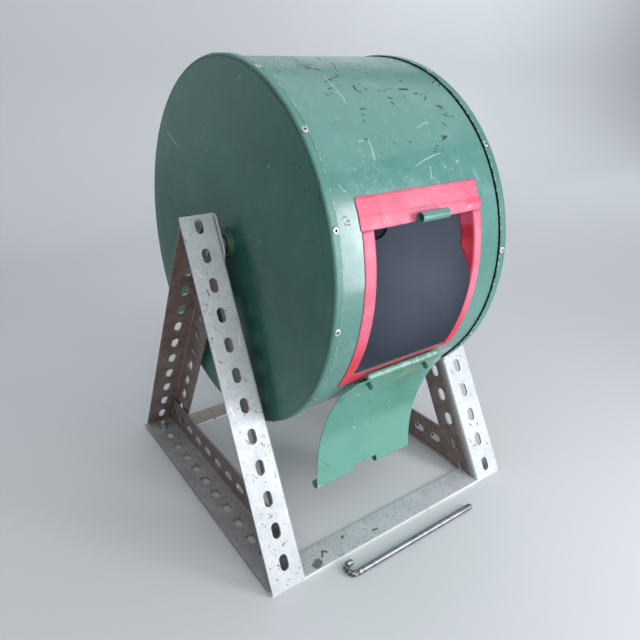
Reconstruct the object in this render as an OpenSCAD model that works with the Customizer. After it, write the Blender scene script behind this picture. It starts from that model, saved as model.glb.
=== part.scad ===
// Raffle drum: a sheet metal drum with a hinged door, turning on two stub
// axles in a pair of slotted angle frames that stand on two flat straps.
// X runs along the axle, the door's side is towards -Y, and the stand's
// straps rest on z = 0. The origin is on the ground midway between the frames.
// Angles around the drum are counted from the front, upwards being positive.

/* [Drum] */
// Outer radius of the rolled shell
drum_r = 183; // [165:1:190]
// Thickness of the shell, the end caps and the door
sheet_t = 0.8; // [0.6:0.1:1]
// Length of the drum over both end discs
drum_len = 207; // [190:1:210]
// Middle of the drum along the axle, from the middle of the stand
drum_mid = -12.5; // [-14:0.5:0]
// Width of the end caps' flanges
cap_flange_w = 8.5; // [8:0.5:12]
// Depth that the left disc is dished inwards
dish_depth = 6; // [4:0.5:10]
// Radial gap between the left flange and the shell
left_gap = 2; // [1:0.1:3]
// Radial gap between the right flange and the shell
right_gap = 1; // [0.5:0.1:1.1]

/* [Mouth and tape] */
// Width of the mouth along the axle
mouth_w = 119; // [90:1:122]
// Middle of the mouth, from the middle of the drum
mouth_mid = 0.5; // [-4:0.5:4]
// Angle of the mouth's top edge
mouth_top_a = 14.9; // [10:0.1:20]
// Angle of the mouth's bottom edge
mouth_low_a = -30; // [-32:0.5:-20]
// Thickness of the cloth tape
tape_t = 0.3; // [0.2:0.05:0.4]
// Thickness of the glue between the tape and the shell
glue_t = 0.1; // [0.05:0.05:0.2]
// Width of the tape down the mouth's left side
tape_left_w = 12; // [8:0.5:16]
// Width of the tape down the mouth's right side
tape_right_w = 8.5; // [6:0.5:12]
// Height of the tape over the mouth
tape_top_h = 28; // [20:0.5:32]
// Height of the tape below the mouth, above the hinge
tape_low_h = 4; // [2:0.5:4.5]
// Length that the left tape runs on below the mouth
tape_tail = 14; // [8:0.5:20]
// Width of the second piece of tape over the mouth's top left corner
patch_w = 21.5; // [10:0.5:30]
// Width of the tape turned in behind the mouth's edge
tape_return_w = 7; // [4:0.5:10]

/* [Door and latch] */
// Width of the door along the axle
door_w = 131; // [124:1:134]
// Middle of the door, from the middle of the drum
door_mid = 4.5; // [0:0.5:7]
// Gap between the closed door and the shell
door_gap = 1; // [0.8:0.1:1.5]
// Swing of the door from closed to where it hangs
door_open_a = 190.5; // [150:0.5:192]
// Radius of the bore through the rolled eyes
eye_bore_r = 3.7; // [3.4:0.1:4]
// Length of the rolled eye on the shell
knuckle_len = 32; // [24:1:44]
// Angle of the rolled eyes' common line
eye_a = 15.8; // [15:0.1:22]
// End clearance between the shell's eye and the door's eyes
eye_end_gap = 0.8; // [0.4:0.1:2]
// Amount cut off the door's lower corners, along the axle
door_corner_w = 8; // [4:0.5:12]
// Amount cut off the door's lower corners, up the door
door_corner_h = 19; // [10:0.5:30]
// Radius of the latch pin's rod
pin_r = 3; // [2.5:0.1:3.3]
// Length of the latch pin's straight shaft
pin_len = 164; // [140:1:180]
// Radius of the latch pin's hook, at the middle of the rod
hook_r = 6.5; // [5:0.5:9]
// Length of the leg that ends the hook
hook_leg = 4.5; // [2:0.5:10]
// Left end of the latch pin's shaft, as it lies
pin_x = -79.5; // [-100:0.5:-60]
// Distance of the latch pin's shaft from the front strap, as it lies
pin_gap = 23.5; // [18:0.5:35]

/* [Hinge] */
// Length of the hinge's barrel
hinge_len = 88; // [70:1:100]
// Middle of the hinge, from the middle of the drum
hinge_mid = 4; // [0:0.1:12]
// Angle of the hinge's pin
hinge_a = -32.2; // [-36:0.1:-31.8]
// Distance of the hinge's pin from the shell
hinge_rise = 4; // [3.8:0.1:5]
// Outer radius of the hinge's barrel
barrel_r = 2.8; // [2.5:0.1:3]
// Radius of the hinge's pin
hinge_pin_r = 1.5; // [1.2:0.1:1.7]
// Width of each hinge leaf
leaf_w = 16; // [14:0.5:20]
// Thickness of each hinge leaf
leaf_t = 0.8; // [0.6:0.1:1]
// Distance of the door's rivets from the hinge's pin
hinge_rivet_d = 10.8; // [10.6:0.1:12]

/* [Hubs and axles] */
// Radius of the axle bolts
axle_r = 5; // [4:0.5:5.5]
// Running clearance of the axle bolts in the frames
axle_clear = 0.05; // [0.02:0.01:0.1]
// Radius of the hubs' flanges
hub_flange_r = 17; // [15:0.5:22]
// Radius of the hubs' bosses
hub_boss_r = 14.5; // [12:0.5:15]
// Thickness of each of the hubs' two steps
hub_step = 2.5; // [2:0.1:3]
// Radius of the backing plates inside the drum
backing_r = 28; // [24:1:40]
// Radius of the raised middle of the backing plates
backing_step_r = 24; // [18:1:24]
// Thickness of each of the backing plates' two steps
backing_t = 1.5; // [1:0.1:2]
// Thickness of the jam nut on each hub
jam_nut_t = 6; // [4:0.5:6]
// Thickness of the lock nut outside each frame
lock_nut_t = 8; // [6:0.5:9]
// Distance across the flats of the axle's nuts and bolt heads
axle_nut_af = 17; // [15:0.5:18]
// Height of the axle bolts' heads
axle_head_h = 6.4; // [5:0.1:7]
// Radius of the axle washers
washer_r = 10; // [9:0.5:12]
// Thickness of the axle washers
washer_t = 2; // [1.5:0.1:2.5]
// Free play between the frames and the nuts and washers
axle_play = 0.6; // [0.3:0.1:0.9]
// Length of the axle bolts beyond the lock nuts
axle_end = 2.5; // [1:0.5:5]
// Radius of the spacer on the right axle
spacer_r = 9; // [7.5:0.5:10]

/* [Stand] */
// Distance of the axle below the top of the frames
axle_drop = 34.8; // [32:0.1:40]
// Width of each flange of the slotted angle
flange_w = 38; // [34:1:40]
// Thickness of the slotted angle
angle_t = 2; // [1.5:0.1:2.5]
// Outer bend radius of the slotted angle
bend_r = 3.5; // [2.6:0.1:4]
// Distance between the inner faces of the two front legs
stand_gap = 247.4; // [246.4:0.2:260]
// Height of the frames, without the straps
frame_h = 325.1; // [318:0.1:340]
// Depth of the frames from front to back
frame_d = 326.4; // [300:1:350]
// Length of each slot
slot_len = 15; // [12:0.5:18]
// Width of each slot
slot_w = 9; // [7:0.5:10]
// Distance between slots on the legs
leg_pitch = 29.95; // [26:0.05:34]
// Distance between slots on the base rails
base_pitch = 26.45; // [24:0.05:30]
// Distance of the left front leg's first slot from the top
left_front_first = 11.9; // [9:0.1:22]
// Distance of the right front leg's first slot from the top
right_front_first = 20.6; // [9:0.1:22]
// Distance of the back legs' first slot from the top
back_first = 15.5; // [9:0.1:18]
// Distance of the rearmost base slot from the back of the frames
base_first = 19.7; // [15:0.1:25]

/* [Straps and feet] */
// Thickness of the straps
strap_t = 3; // [2.5:0.5:5]
// Width of the front strap
front_strap_w = 26; // [20:1:32]
// Width of the rear strap
rear_strap_w = 28; // [20:1:32]
// Distance of the front strap's middle in front of the frontmost base slot
front_strap_off = 1.55; // [0:0.05:4]
// Distance of the rear strap's middle in front of the rearmost base slot
rear_strap_off = 6.5; // [2:0.5:7]
// Radius of the foot screws
foot_r = 3; // [2.5:0.25:3.5]
// Distance across the flats of the foot nuts
foot_nut_af = 10; // [9:0.5:11]
// Thickness of the foot nuts
foot_nut_t = 5; // [4:0.5:6]
// Length of the foot screws beyond their nuts
foot_screw_end = 1.5; // [0.5:0.5:5]
// Radius of the foot washers
foot_washer_r = 6.2; // [5.6:0.1:7]
// Thickness of the foot washers
foot_washer_t = 1.2; // [1:0.1:2]

/* [Rivets] */
// Radius of the heads of the caps' rivets
rivet_head_r = 3.6; // [2.5:0.1:3.8]
// Radius of the heads of the hinge's rivets
hinge_head_r = 3.2; // [2.5:0.1:3.8]
// Height of the rivets' heads
rivet_head_h = 0.9; // [0.6:0.1:0.9]
// Radius of the rivets' shanks
rivet_r = 1.6; // [1.2:0.1:2]
// Radius of the rivets' upset tails
rivet_tail_r = 2.25; // [2:0.05:2.4]
// Length of the rivets' tails behind the sheet
rivet_tail_h = 3; // [2:0.5:5]
// Length of the tails on the door's inner face
door_tail_h = 6.5; // [3:0.5:8]
// Distance of the rivets in the caps from the discs
rivet_inset = 5.4; // [5:0.1:5.6]
// Number of rivets in the left cap
left_rivets = 14; // [8:1:14]
// Number of rivets in the right cap
right_rivets = 11; // [8:1:11]

/* [Hidden] */
$fn = 96;
eps = 0.01;

// Side profile of the frames, whose apex is above the axle.
frame_half = frame_d / 2;
axle_h = strap_t + frame_h - axle_drop;
leg_a = atan(frame_half / frame_h);
leg_len = sqrt(pow(frame_half, 2) + pow(frame_h, 2));
slot_row = flange_w / 2;
// The inner flanges have no slots beside the axle's hole.
axle_slots = 2;
slot_margin = 5;
bend_clear = 1;
front_x = stand_gap / 2;
back_x = front_x - angle_t;
base_x = front_x + angle_t;
foot_x = base_x + slot_row;
base_slots = floor((frame_d - base_first - slot_len) / base_pitch) + 1;
rear_slot_y = frame_half - base_first;
front_slot_y = rear_slot_y - (base_slots - 1) * base_pitch;
front_strap_y = front_slot_y - front_strap_off;
rear_strap_y = rear_slot_y - rear_strap_off;
rear_screw_off = 3;
rear_screw_y = rear_strap_y + rear_screw_off;
foot_head_r = 2 * foot_r;
foot_head_h = 0.9 * foot_r;
pin_y = front_strap_y - front_strap_w / 2 - pin_gap;
foot_places = [for (s = [-1, 1], y = [front_strap_y, rear_screw_y]) [s * foot_x, y]];
big = 2 * leg_len;

// Drum, from its left disc to its right disc.
left_x = drum_mid - drum_len / 2;
right_x = drum_mid + drum_len / 2;
mouth_x0 = drum_mid + mouth_mid - mouth_w / 2;
mouth_x1 = mouth_x0 + mouth_w;
flat_rim_w = 12;
backing_edge_w = 3;
dish_rim_r = drum_r - flat_rim_w;
dish_flat_r = backing_r + backing_edge_w;
inner_r = drum_r - sheet_t;
left_cap_r = drum_r + left_gap + sheet_t;
right_cap_r = drum_r + right_gap + sheet_t;

// Rolled eyes that the latch pin locks together.
eye_r = eye_bore_r + sheet_t;
eye_clear = 0.5;
eye_rise = eye_r + glue_t + tape_t + eye_clear;
tab_in = 0.1;
tab_a = eye_a - arc(eye_r - tab_in - sheet_t / 2, drum_r);
eye_x0 = drum_mid + door_mid - knuckle_len / 2;
eye_x1 = eye_x0 + knuckle_len;
door_x0 = drum_mid + door_mid - door_w / 2;
door_x1 = door_x0 + door_w;
door_r = drum_r + door_gap;
door_hinge_gap = 0.5;
door_low_a = hinge_a + arc(barrel_r + door_hinge_gap, drum_r);
door_edge_a = eye_a - arc(eye_r + eye_end_gap, drum_r);

// Hinge, whose five knuckles belong to the drum and the door in turn.
knuckles = 5;
knuckle_gap = 0.3;
hinge_pin_clear = 0.05;
hinge_x0 = drum_mid + hinge_mid - hinge_len / 2;
hinge_x1 = hinge_x0 + hinge_len;
hinge_y = -(drum_r + hinge_rise) * cos(hinge_a);
hinge_z = axle_h + (drum_r + hinge_rise) * sin(hinge_a);
riser_in = 0.2;
leaf_gap = 0.4;
leaf_start = barrel_r + leaf_gap;
left_rivet_in = 5.5;
right_rivet_in = 9.5;
drum_rivet_in = 26;
door_rivet_xs = [hinge_x0 + left_rivet_in, hinge_x1 - right_rivet_in];
drum_rivet_xs = [hinge_x0 + drum_rivet_in, hinge_x1 - drum_rivet_in];
hinge_pin_head_h = 0.8;
hinge_pin_head_r = 0.8 * barrel_r;

// Tape around the mouth, on both faces of the shell.
tape_r = drum_r + glue_t;
tape_in_r = inner_r - glue_t;
tape_hinge_gap = 1.5;
patch_over = 0.5;
patch_short = 1.5;

// Places along the axle.
left_face = left_x + dish_depth;
washer_x = front_x + angle_t + axle_play;
bolt_end = washer_x + washer_t + lock_nut_t + axle_end;

// Angles of the cap rivets.
left_rivet_a = 67.9;
left_rivet_step = 360 / left_rivets;
right_rivet_a = 65;
right_rivet_step = 31.7;

function arc(length, radius) = length / radius * 180 / PI;
function around(a, r) = [-r * sin(a), -r * cos(a)];

// Shared shapes

module on_axle(x) {
    translate([x, 0, axle_h]) rotate([0, 90, 0]) children();
}

// Local Z points out of the drum at angle a, and local Y up along the shell.
module on_shell(a, r, x) {
    translate([x, 0, axle_h]) rotate([-a, 0, 0]) translate([0, -r, 0]) rotate([90, 0, 0]) children();
}

module to_side(side) {
    if (side > 0) children();
    else mirror([1, 0, 0]) children();
}

module tube(r_out, r_in, h) {
    difference() {
        cylinder(r = r_out, h = h);
        translate([0, 0, -eps]) cylinder(r = r_in, h = h + 2 * eps);
    }
}

module hex_prism(af, h) {
    linear_extrude(height = h) circle(d = af / cos(30), $fn = 6);
}

module hex_nut(af, r_in, h) {
    difference() {
        hex_prism(af, h);
        translate([0, 0, -eps]) cylinder(r = r_in, h = h + 2 * eps);
    }
}

// A sector of the drum's cross section that reaches past every radius.
module wedge(a0, a1) {
    reach = 2 * drum_r;
    polygon([[0, 0], around(a0, reach), around((a0 + a1) / 2, 1.4 * reach), around(a1, reach)]);
}

// Part of a ring in the drum's cross section, between two radii and two angles.
module ring_part(r0, r1, a0, a1) {
    intersection() {
        difference() {
            circle(r = r1, $fn = 180);
            circle(r = r0, $fn = 180);
        }
        wedge(a0, a1);
    }
}

// Draws a cross section of the drum out from x0 to x1.
module drawn_out(x0, x1) {
    on_axle(x0) linear_extrude(height = x1 - x0) children();
}

// A curved strip of sheet from x0 to x1, between two radii and two angles.
module strip(x0, x1, r0, r1, a0, a1) {
    drawn_out(x0, x1) ring_part(r0, r1, a0, a1);
}

// A rivet whose head stands on local Z = 0 and whose tail reaches down.
module rivet(grip, tail_h, head_r) {
    brow_r = 0.8 * head_r;
    brow_h = 0.7 * rivet_head_h;
    crown_r = 0.4 * head_r;
    rotate_extrude() polygon([
        [0, -grip - tail_h], [rivet_tail_r, -grip - tail_h], [rivet_tail_r, -grip],
        [rivet_r, -grip], [rivet_r, 0], [head_r, 0],
        [brow_r, brow_h], [crown_r, rivet_head_h],
        [0, rivet_head_h],
    ]);
}

module rivet_hole() {
    reach = 4 * rivet_tail_h;
    translate([0, 0, -reach]) cylinder(r = rivet_r, h = 2 * reach);
}

// Stand

// Cross section of the slotted angle, with its bend at the origin.
module angle_section() {
    difference() {
        union() {
            translate([bend_r, 0]) square([flange_w - bend_r, angle_t]);
            translate([0, bend_r]) square([angle_t, flange_w - bend_r]);
            intersection() {
                translate([bend_r, bend_r]) circle(r = bend_r, $fn = 48);
                square(bend_r);
            }
        }
        translate([bend_r, bend_r]) circle(r = bend_r - angle_t, $fn = 48);
    }
}

module slot_cut() {
    half = (slot_len - slot_w) / 2;
    translate([0, 0, -angle_t]) linear_extrude(height = 3 * angle_t) union() {
        square([slot_w, 2 * half], center = true);
        translate([0, half]) circle(d = slot_w, $fn = 32);
        translate([0, -half]) circle(d = slot_w, $fn = 32);
    }
}

// Slotted angle along local Y from 0 to len. One flange lies along local X and
// the other stands along local Z, each with slots at the given places.
module slotted_angle(len, flat_places, upright_places) {
    difference() {
        rotate([90, 0, 0]) mirror([0, 0, 1]) linear_extrude(height = len) angle_section();
        for (y = flat_places) translate([slot_row, y, 0]) slot_cut();
        for (y = upright_places) translate([0, y, slot_row]) rotate([0, 90, 0]) slot_cut();
    }
}

// Lays local Y along a leg from its foot up to the apex, with local Z pointing
// into the frame's triangle. rear is 1 for a back leg and -1 for a front leg.
module along_leg(rear, x) {
    if (rear > 0) translate([x, frame_half, strap_t]) rotate([90 + leg_a, 0, 0]) children();
    else mirror([0, 1, 0]) along_leg(1, x) children();
}

function leg_rows(first, skip) = [
    for (i = [skip:floor((leg_len - first - slot_len / 2 - slot_margin) / leg_pitch)])
        leg_len - first - i * leg_pitch
];

module leg_blank(rear, x, first) {
    over = flange_w;
    along_leg(rear, x) translate([0, -over, 0]) slotted_angle(
        leg_len + 2 * over,
        [for (y = leg_rows(first, 0)) y + over],
        [for (y = leg_rows(first, axle_slots)) y + over]
    );
}

// The space on the inner side of a leg's outer face, moved in by depth.
module inside_leg(rear, depth) {
    along_leg(rear, 0) translate([-big / 2, -big / 2, depth]) cube([big, big, big]);
}

module above_straps() {
    translate([-big / 2, -big / 2, strap_t]) cube([big, big, big]);
}

// The inner flange's layer, from x outwards.
module flange_layer(x) {
    translate([x - 1, -big / 2, 0]) cube([1 + angle_t, big, big]);
}

module axle_hole() {
    on_axle(0) cylinder(r = axle_r + axle_clear, h = big);
}

// A slab across the whole stand, from a polygon in the frames' side profile.
module side_prism(points) {
    translate([-big / 2, 0, 0]) rotate([90, 0, 90]) linear_extrude(height = big) polygon(points);
}

// Takes the corner off a leg's inner flange where it stands on the strap.
module foot_corner(rear) {
    y = rear * (frame_half - flange_w / cos(leg_a));
    up = 7;
    along = 5;
    side_prism([
        [y - rear * up * sin(leg_a), strap_t + up * cos(leg_a)],
        [y + rear * along, strap_t],
        [y - rear * along, strap_t - along],
    ]);
}

// Takes the corner off the back leg's flange where it crosses the front leg.
module apex_corner() {
    run = flange_w / sin(2 * leg_a);
    y = -run * sin(leg_a);
    z = strap_t + frame_h - run * cos(leg_a);
    up = 7;
    down = 12;
    side_prism([
        [y + up * sin(leg_a), z + up * cos(leg_a)],
        [y + down * sin(leg_a), z - down * cos(leg_a)],
        [y - up, z],
    ]);
}

module front_leg(side, first) {
    color("gainsboro") to_side(side) difference() {
        intersection() {
            leg_blank(-1, front_x, first);
            above_straps();
            union() {
                translate([0, -big, 0]) cube([big, big, big]);
                // The inner flange runs on to just short of the back leg's bend.
                intersection() {
                    flange_layer(front_x);
                    inside_leg(1, bend_r + bend_clear);
                }
            }
        }
        axle_hole();
        foot_corner(-1);
    }
}

module back_leg(side) {
    color("rosybrown") to_side(side) difference() {
        intersection() {
            leg_blank(1, back_x, back_first);
            above_straps();
            union() {
                cube([big, big, big]);
                // Only the inner flange crosses over beside the front leg.
                intersection() {
                    flange_layer(back_x);
                    inside_leg(-1, 0);
                }
            }
        }
        axle_hole();
        foot_corner(1);
        apex_corner();
    }
}

module base_rail(side) {
    places = [for (i = [0:base_slots - 1]) frame_d - base_first - i * base_pitch];
    color("gray") to_side(side) intersection() {
        translate([base_x, -frame_half, strap_t]) slotted_angle(frame_d, places, places);
        inside_leg(-1, angle_t);
        inside_leg(1, angle_t);
        // The upright flange also stays clear of both legs' bends.
        union() {
            translate([base_x + bend_r, -big / 2, 0]) cube([big, big, big]);
            intersection() {
                inside_leg(-1, bend_r);
                inside_leg(1, bend_r);
            }
        }
    }
}

module left_front_leg() { front_leg(-1, left_front_first); }
module right_front_leg() { front_leg(1, right_front_first); }
module left_back_leg() { back_leg(-1); }
module right_back_leg() { back_leg(1); }
module left_base_rail() { base_rail(-1); }
module right_base_rail() { base_rail(1); }

module strap(y, w, screw_y) {
    outer = front_x + flange_w;
    color("lightslategray") difference() {
        translate([-outer, y - w / 2, 0]) cube([2 * outer, w, strap_t]);
        for (s = [-1, 1]) translate([s * foot_x, screw_y, 0]) foot_screw_shape(strap_t + eps);
    }
}

module front_strap() { strap(front_strap_y, front_strap_w, front_strap_y); }
module rear_strap() { strap(rear_strap_y, rear_strap_w, rear_screw_y); }

// A countersunk screw standing on z = 0.
module foot_screw_shape(h) {
    rotate_extrude() polygon([[0, 0], [foot_head_r, 0], [foot_r, foot_head_h], [foot_r, h], [0, h]]);
}

module foot_screws() {
    h = strap_t + angle_t + foot_washer_t + foot_nut_t + foot_screw_end;
    color("silver") for (p = foot_places) translate(p) foot_screw_shape(h);
}

module foot_washers() {
    color("silver") for (p = foot_places) translate([p[0], p[1], strap_t + angle_t])
        tube(foot_washer_r, foot_r, foot_washer_t);
}

module foot_nuts() {
    color("silver") for (p = foot_places) translate([p[0], p[1], strap_t + angle_t + foot_washer_t])
        hex_nut(foot_nut_af, foot_r, foot_nut_t);
}

// Drum

module left_rivet_places() {
    for (i = [0:left_rivets - 1])
        on_shell(left_rivet_a - i * left_rivet_step, left_cap_r, left_x + rivet_inset) children();
}

module right_rivet_places() {
    for (i = [0:right_rivets - 1])
        on_shell(right_rivet_a - i * right_rivet_step, right_cap_r, right_x - rivet_inset) children();
}

module drum_rivet_places() {
    for (x = drum_rivet_xs) on_shell(hinge_a - arc(hinge_rivet_d, drum_r), drum_r + leaf_t, x) children();
}

module door_rivet_places() {
    for (x = door_rivet_xs)
        on_shell(hinge_a + arc(hinge_rivet_d, drum_r), door_r + sheet_t + leaf_t, x) children();
}

// Places a cross section at angle a, with its Y pointing out of the drum.
module at_angle(a, r) {
    rotate(180 - a) translate([0, r]) children();
}

module eye_circle(r) {
    at_angle(eye_a, drum_r + eye_rise) circle(r = r);
}

// The shell's eye is rolled from a tab that stands up from the mouth's edge.
module shell_eye() {
    difference() {
        union() {
            eye_circle(eye_r);
            at_angle(eye_a, drum_r - sheet_t / 2) translate([tab_in - eye_r, 0])
                square([sheet_t, sheet_t / 2 + eye_rise]);
        }
        eye_circle(eye_bore_r);
    }
}

module drum_shell() {
    color("seagreen") difference() {
        union() {
            difference() {
                on_axle(left_x + sheet_t) tube(drum_r, inner_r, drum_len - 2 * sheet_t);
                drawn_out(mouth_x0, mouth_x1) wedge(mouth_low_a, tab_a);
                drawn_out(mouth_x0, eye_x0) wedge(0, mouth_top_a);
                drawn_out(eye_x1, mouth_x1) wedge(0, mouth_top_a);
            }
            drawn_out(eye_x0, eye_x1) shell_eye();
        }
        left_rivet_places() rivet_hole();
        right_rivet_places() rivet_hole();
        drum_rivet_places() rivet_hole();
    }
}

// A disc at z = 0 that bends round into a flange, which reaches up outside the
// shell. Its middle is dished up by depth, and gap lies inside the flange.
module cap_shape(depth, gap) {
    steps = 6;
    turns = [for (i = [0:steps]) i * 90 / steps];
    // The bend is centred on the shell's outer face.
    bend = gap + sheet_t;
    outside = [for (a = turns) [drum_r + bend * sin(a), bend - bend * cos(a)]];
    inside = [for (a = turns) [drum_r + gap * cos(a), bend - gap * sin(a)]];
    rotate_extrude($fn = 180) polygon(concat(
        [[axle_r, depth], [dish_flat_r, depth], [dish_rim_r, 0]],
        outside,
        [[drum_r + bend, cap_flange_w], [drum_r + gap, cap_flange_w]],
        inside,
        [[dish_rim_r, sheet_t], [dish_flat_r, depth + sheet_t], [axle_r, depth + sheet_t]]
    ));
}

module left_end_cap() {
    color("darkslategray") difference() {
        on_axle(left_x) cap_shape(dish_depth, left_gap);
        left_rivet_places() rivet_hole();
    }
}

module right_end_cap() {
    color("seagreen") difference() {
        on_axle(right_x) mirror([0, 0, 1]) cap_shape(0, right_gap);
        right_rivet_places() rivet_hole();
    }
}

module left_cap_rivets() {
    color("lightgray") left_rivet_places() rivet(2 * sheet_t + left_gap, rivet_tail_h, rivet_head_r);
}

module right_cap_rivets() {
    color("lightgray") right_rivet_places() rivet(2 * sheet_t + right_gap, rivet_tail_h, rivet_head_r);
}

// Stack of parts on each axle. Local Z points away from the drum, and z = 0 is
// the outer face of the disc.
module on_disc(side) {
    if (side > 0) on_axle(right_x) children();
    else on_axle(left_face) mirror([0, 0, 1]) children();
}

function disc_x(side) = side > 0 ? right_x : -left_face;
function jam_nut_z(side) = back_x - disc_x(side) - axle_play - jam_nut_t;

module hub(side, h) {
    color("seagreen") on_disc(side) rotate_extrude() polygon([
        [axle_r, 0], [hub_flange_r, 0], [hub_flange_r, hub_step],
        [hub_boss_r, hub_step], [hub_boss_r, h], [axle_r, h],
    ]);
}

module backing_plate(side) {
    color("dimgray") on_disc(side) translate([0, 0, -sheet_t]) mirror([0, 0, 1]) rotate_extrude() polygon([
        [axle_r, 0], [backing_r, 0], [backing_r, backing_t],
        [backing_step_r, backing_t], [backing_step_r, 2 * backing_t], [axle_r, 2 * backing_t],
    ]);
}

module axle_bolt(side) {
    seat = -sheet_t - 2 * backing_t;
    sunk = axle_head_h / 2;
    color("silver") on_disc(side) {
        translate([0, 0, seat - axle_head_h]) hex_prism(axle_nut_af, axle_head_h);
        translate([0, 0, seat - sunk]) cylinder(r = axle_r, h = bolt_end - disc_x(side) - seat + sunk);
    }
}

module hub_nut(side) {
    color("silver") on_disc(side) translate([0, 0, jam_nut_z(side)]) hex_nut(axle_nut_af, axle_r, jam_nut_t);
}

module axle_washer(side) {
    color("silver") on_disc(side) translate([0, 0, washer_x - disc_x(side)]) tube(washer_r, axle_r, washer_t);
}

module axle_nut(side) {
    color("silver") on_disc(side) translate([0, 0, washer_x + washer_t - disc_x(side)])
        hex_nut(axle_nut_af, axle_r, lock_nut_t);
}

module left_hub() { hub(-1, jam_nut_z(-1)); }
module right_hub() { hub(1, 2 * hub_step); }
module left_backing_plate() { backing_plate(-1); }
module right_backing_plate() { backing_plate(1); }
module left_axle_bolt() { axle_bolt(-1); }
module right_axle_bolt() { axle_bolt(1); }
module left_hub_nut() { hub_nut(-1); }
module right_hub_nut() { hub_nut(1); }
module left_axle_washer() { axle_washer(-1); }
module right_axle_washer() { axle_washer(1); }
module left_axle_nut() { axle_nut(-1); }
module right_axle_nut() { axle_nut(1); }

module right_spacer() {
    color("silver") on_disc(1) translate([0, 0, 2 * hub_step])
        tube(spacer_r, axle_r, jam_nut_z(1) - 2 * hub_step);
}

// Tape around the mouth, laid on the shell and turned in behind its edge

module tape_layer(x0, x1, a0, a1) {
    strip(x0, x1, tape_r, tape_r + tape_t, a0, a1);
}

// Tape turned in behind an upright edge of the mouth. dir is 1 where the
// shell lies towards +X from the edge.
module tape_turn(edge, dir) {
    a0 = mouth_low_a + arc(tape_t, tape_in_r);
    a1 = mouth_top_a - arc(tape_t, tape_in_r);
    lip = edge - dir * tape_t;
    back = edge + dir * tape_return_w;
    strip(min(edge, lip), max(edge, lip), tape_in_r - tape_t, tape_r + tape_t, a0, a1);
    strip(min(lip, back), max(lip, back), tape_in_r - tape_t, tape_in_r, a0, a1);
}

module tape_left() {
    color("crimson") union() {
        tape_layer(mouth_x0 - tape_left_w, mouth_x0, mouth_low_a - arc(tape_tail, drum_r), mouth_top_a);
        tape_turn(mouth_x0, -1);
    }
}

module tape_right() {
    color("crimson") union() {
        tape_layer(mouth_x1, mouth_x1 + tape_right_w, mouth_low_a - arc(tape_low_h, drum_r), mouth_top_a);
        tape_turn(mouth_x1, 1);
    }
}

module tape_top() {
    color("crimson") tape_layer(
        mouth_x0 - tape_left_w, mouth_x1 + tape_right_w,
        mouth_top_a, mouth_top_a + arc(tape_top_h, drum_r)
    );
}

module tape_patch() {
    color("palevioletred") strip(
        mouth_x0 - tape_left_w - patch_over, mouth_x0 - tape_left_w + patch_w, tape_r + tape_t, tape_r + 2 * tape_t,
        mouth_top_a, mouth_top_a + arc(tape_top_h - patch_short, drum_r)
    );
}

module tape_bottom() {
    low_a = mouth_low_a - arc(tape_low_h, drum_r);
    color("crimson") union() {
        tape_layer(mouth_x0, mouth_x1, low_a, mouth_low_a);
        tape_layer(mouth_x0, hinge_x0 - tape_hinge_gap, mouth_low_a - arc(tape_tail, drum_r), mouth_low_a);
    }
}

// Hinge and door

module hinge_rod(x0, x1, r) {
    on_shell(hinge_a, drum_r + hinge_rise, x0) rotate([0, 90, 0]) cylinder(r = r, h = x1 - x0);
}

module hinge_circle(r) {
    at_angle(hinge_a, drum_r + hinge_rise) circle(r = r);
}

function knuckle_x(i) = hinge_x0 + i * hinge_len / knuckles;

// Clears a leaf's side of the barrel where the other leaf has knuckle i.
module knuckle_gap_cut(i, a0, a1) {
    low_r = drum_r - sheet_t;
    high_r = drum_r + hinge_rise + 2 * barrel_r;
    strip(knuckle_x(i) - knuckle_gap / 2, knuckle_x(i + 1) + knuckle_gap / 2, low_r, high_r, a0, a1);
}

// The drum's leaf lies on the shell below the barrel and has three knuckles.
module drum_hinge_leaf() {
    start_a = hinge_a - arc(leaf_start, drum_r);
    riser_a = hinge_a - arc(barrel_r - riser_in, drum_r);
    bend_a = hinge_a - arc(barrel_r - leaf_t, drum_r);
    color("mediumaquamarine") difference() {
        drawn_out(hinge_x0, hinge_x1) difference() {
            union() {
                hinge_circle(barrel_r);
                ring_part(drum_r, drum_r + leaf_t, hinge_a - arc(leaf_w, drum_r), bend_a);
                ring_part(drum_r + leaf_t / 2, drum_r + hinge_rise, riser_a, bend_a);
            }
            hinge_circle(hinge_pin_r + hinge_pin_clear);
        }
        for (i = [1:2:knuckles - 1]) knuckle_gap_cut(i, start_a, hinge_a + arc(leaf_start, drum_r));
        drum_rivet_places() rivet_hole();
    }
}

module hinge_pin() {
    color("silver") {
        hinge_rod(hinge_x0 - hinge_pin_head_h, hinge_x1 + hinge_pin_head_h, hinge_pin_r);
        hinge_rod(hinge_x0 - hinge_pin_head_h, hinge_x0, hinge_pin_head_r);
        hinge_rod(hinge_x1, hinge_x1 + hinge_pin_head_h, hinge_pin_head_r);
    }
}

module drum_hinge_rivets() {
    color("lightgray") drum_rivet_places() rivet(leaf_t + sheet_t, rivet_tail_h, hinge_head_r);
}

// Swings what is drawn on the closed door to where the door hangs.
module hung() {
    translate([0, hinge_y, hinge_z]) rotate([door_open_a, 0, 0])
        translate([0, -hinge_y, -hinge_z]) children();
}

module door_corner(x, dir) {
    reach = 2 * door_corner_h;
    points = [
        [dir * door_corner_w, -reach], [dir * door_corner_w, 0], [0, door_corner_h],
        [-dir * reach, door_corner_h], [-dir * reach, -reach],
    ];
    on_shell(door_low_a, door_r, x) translate([0, 0, -reach]) linear_extrude(height = 2 * reach)
        polygon(points);
}

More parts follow.
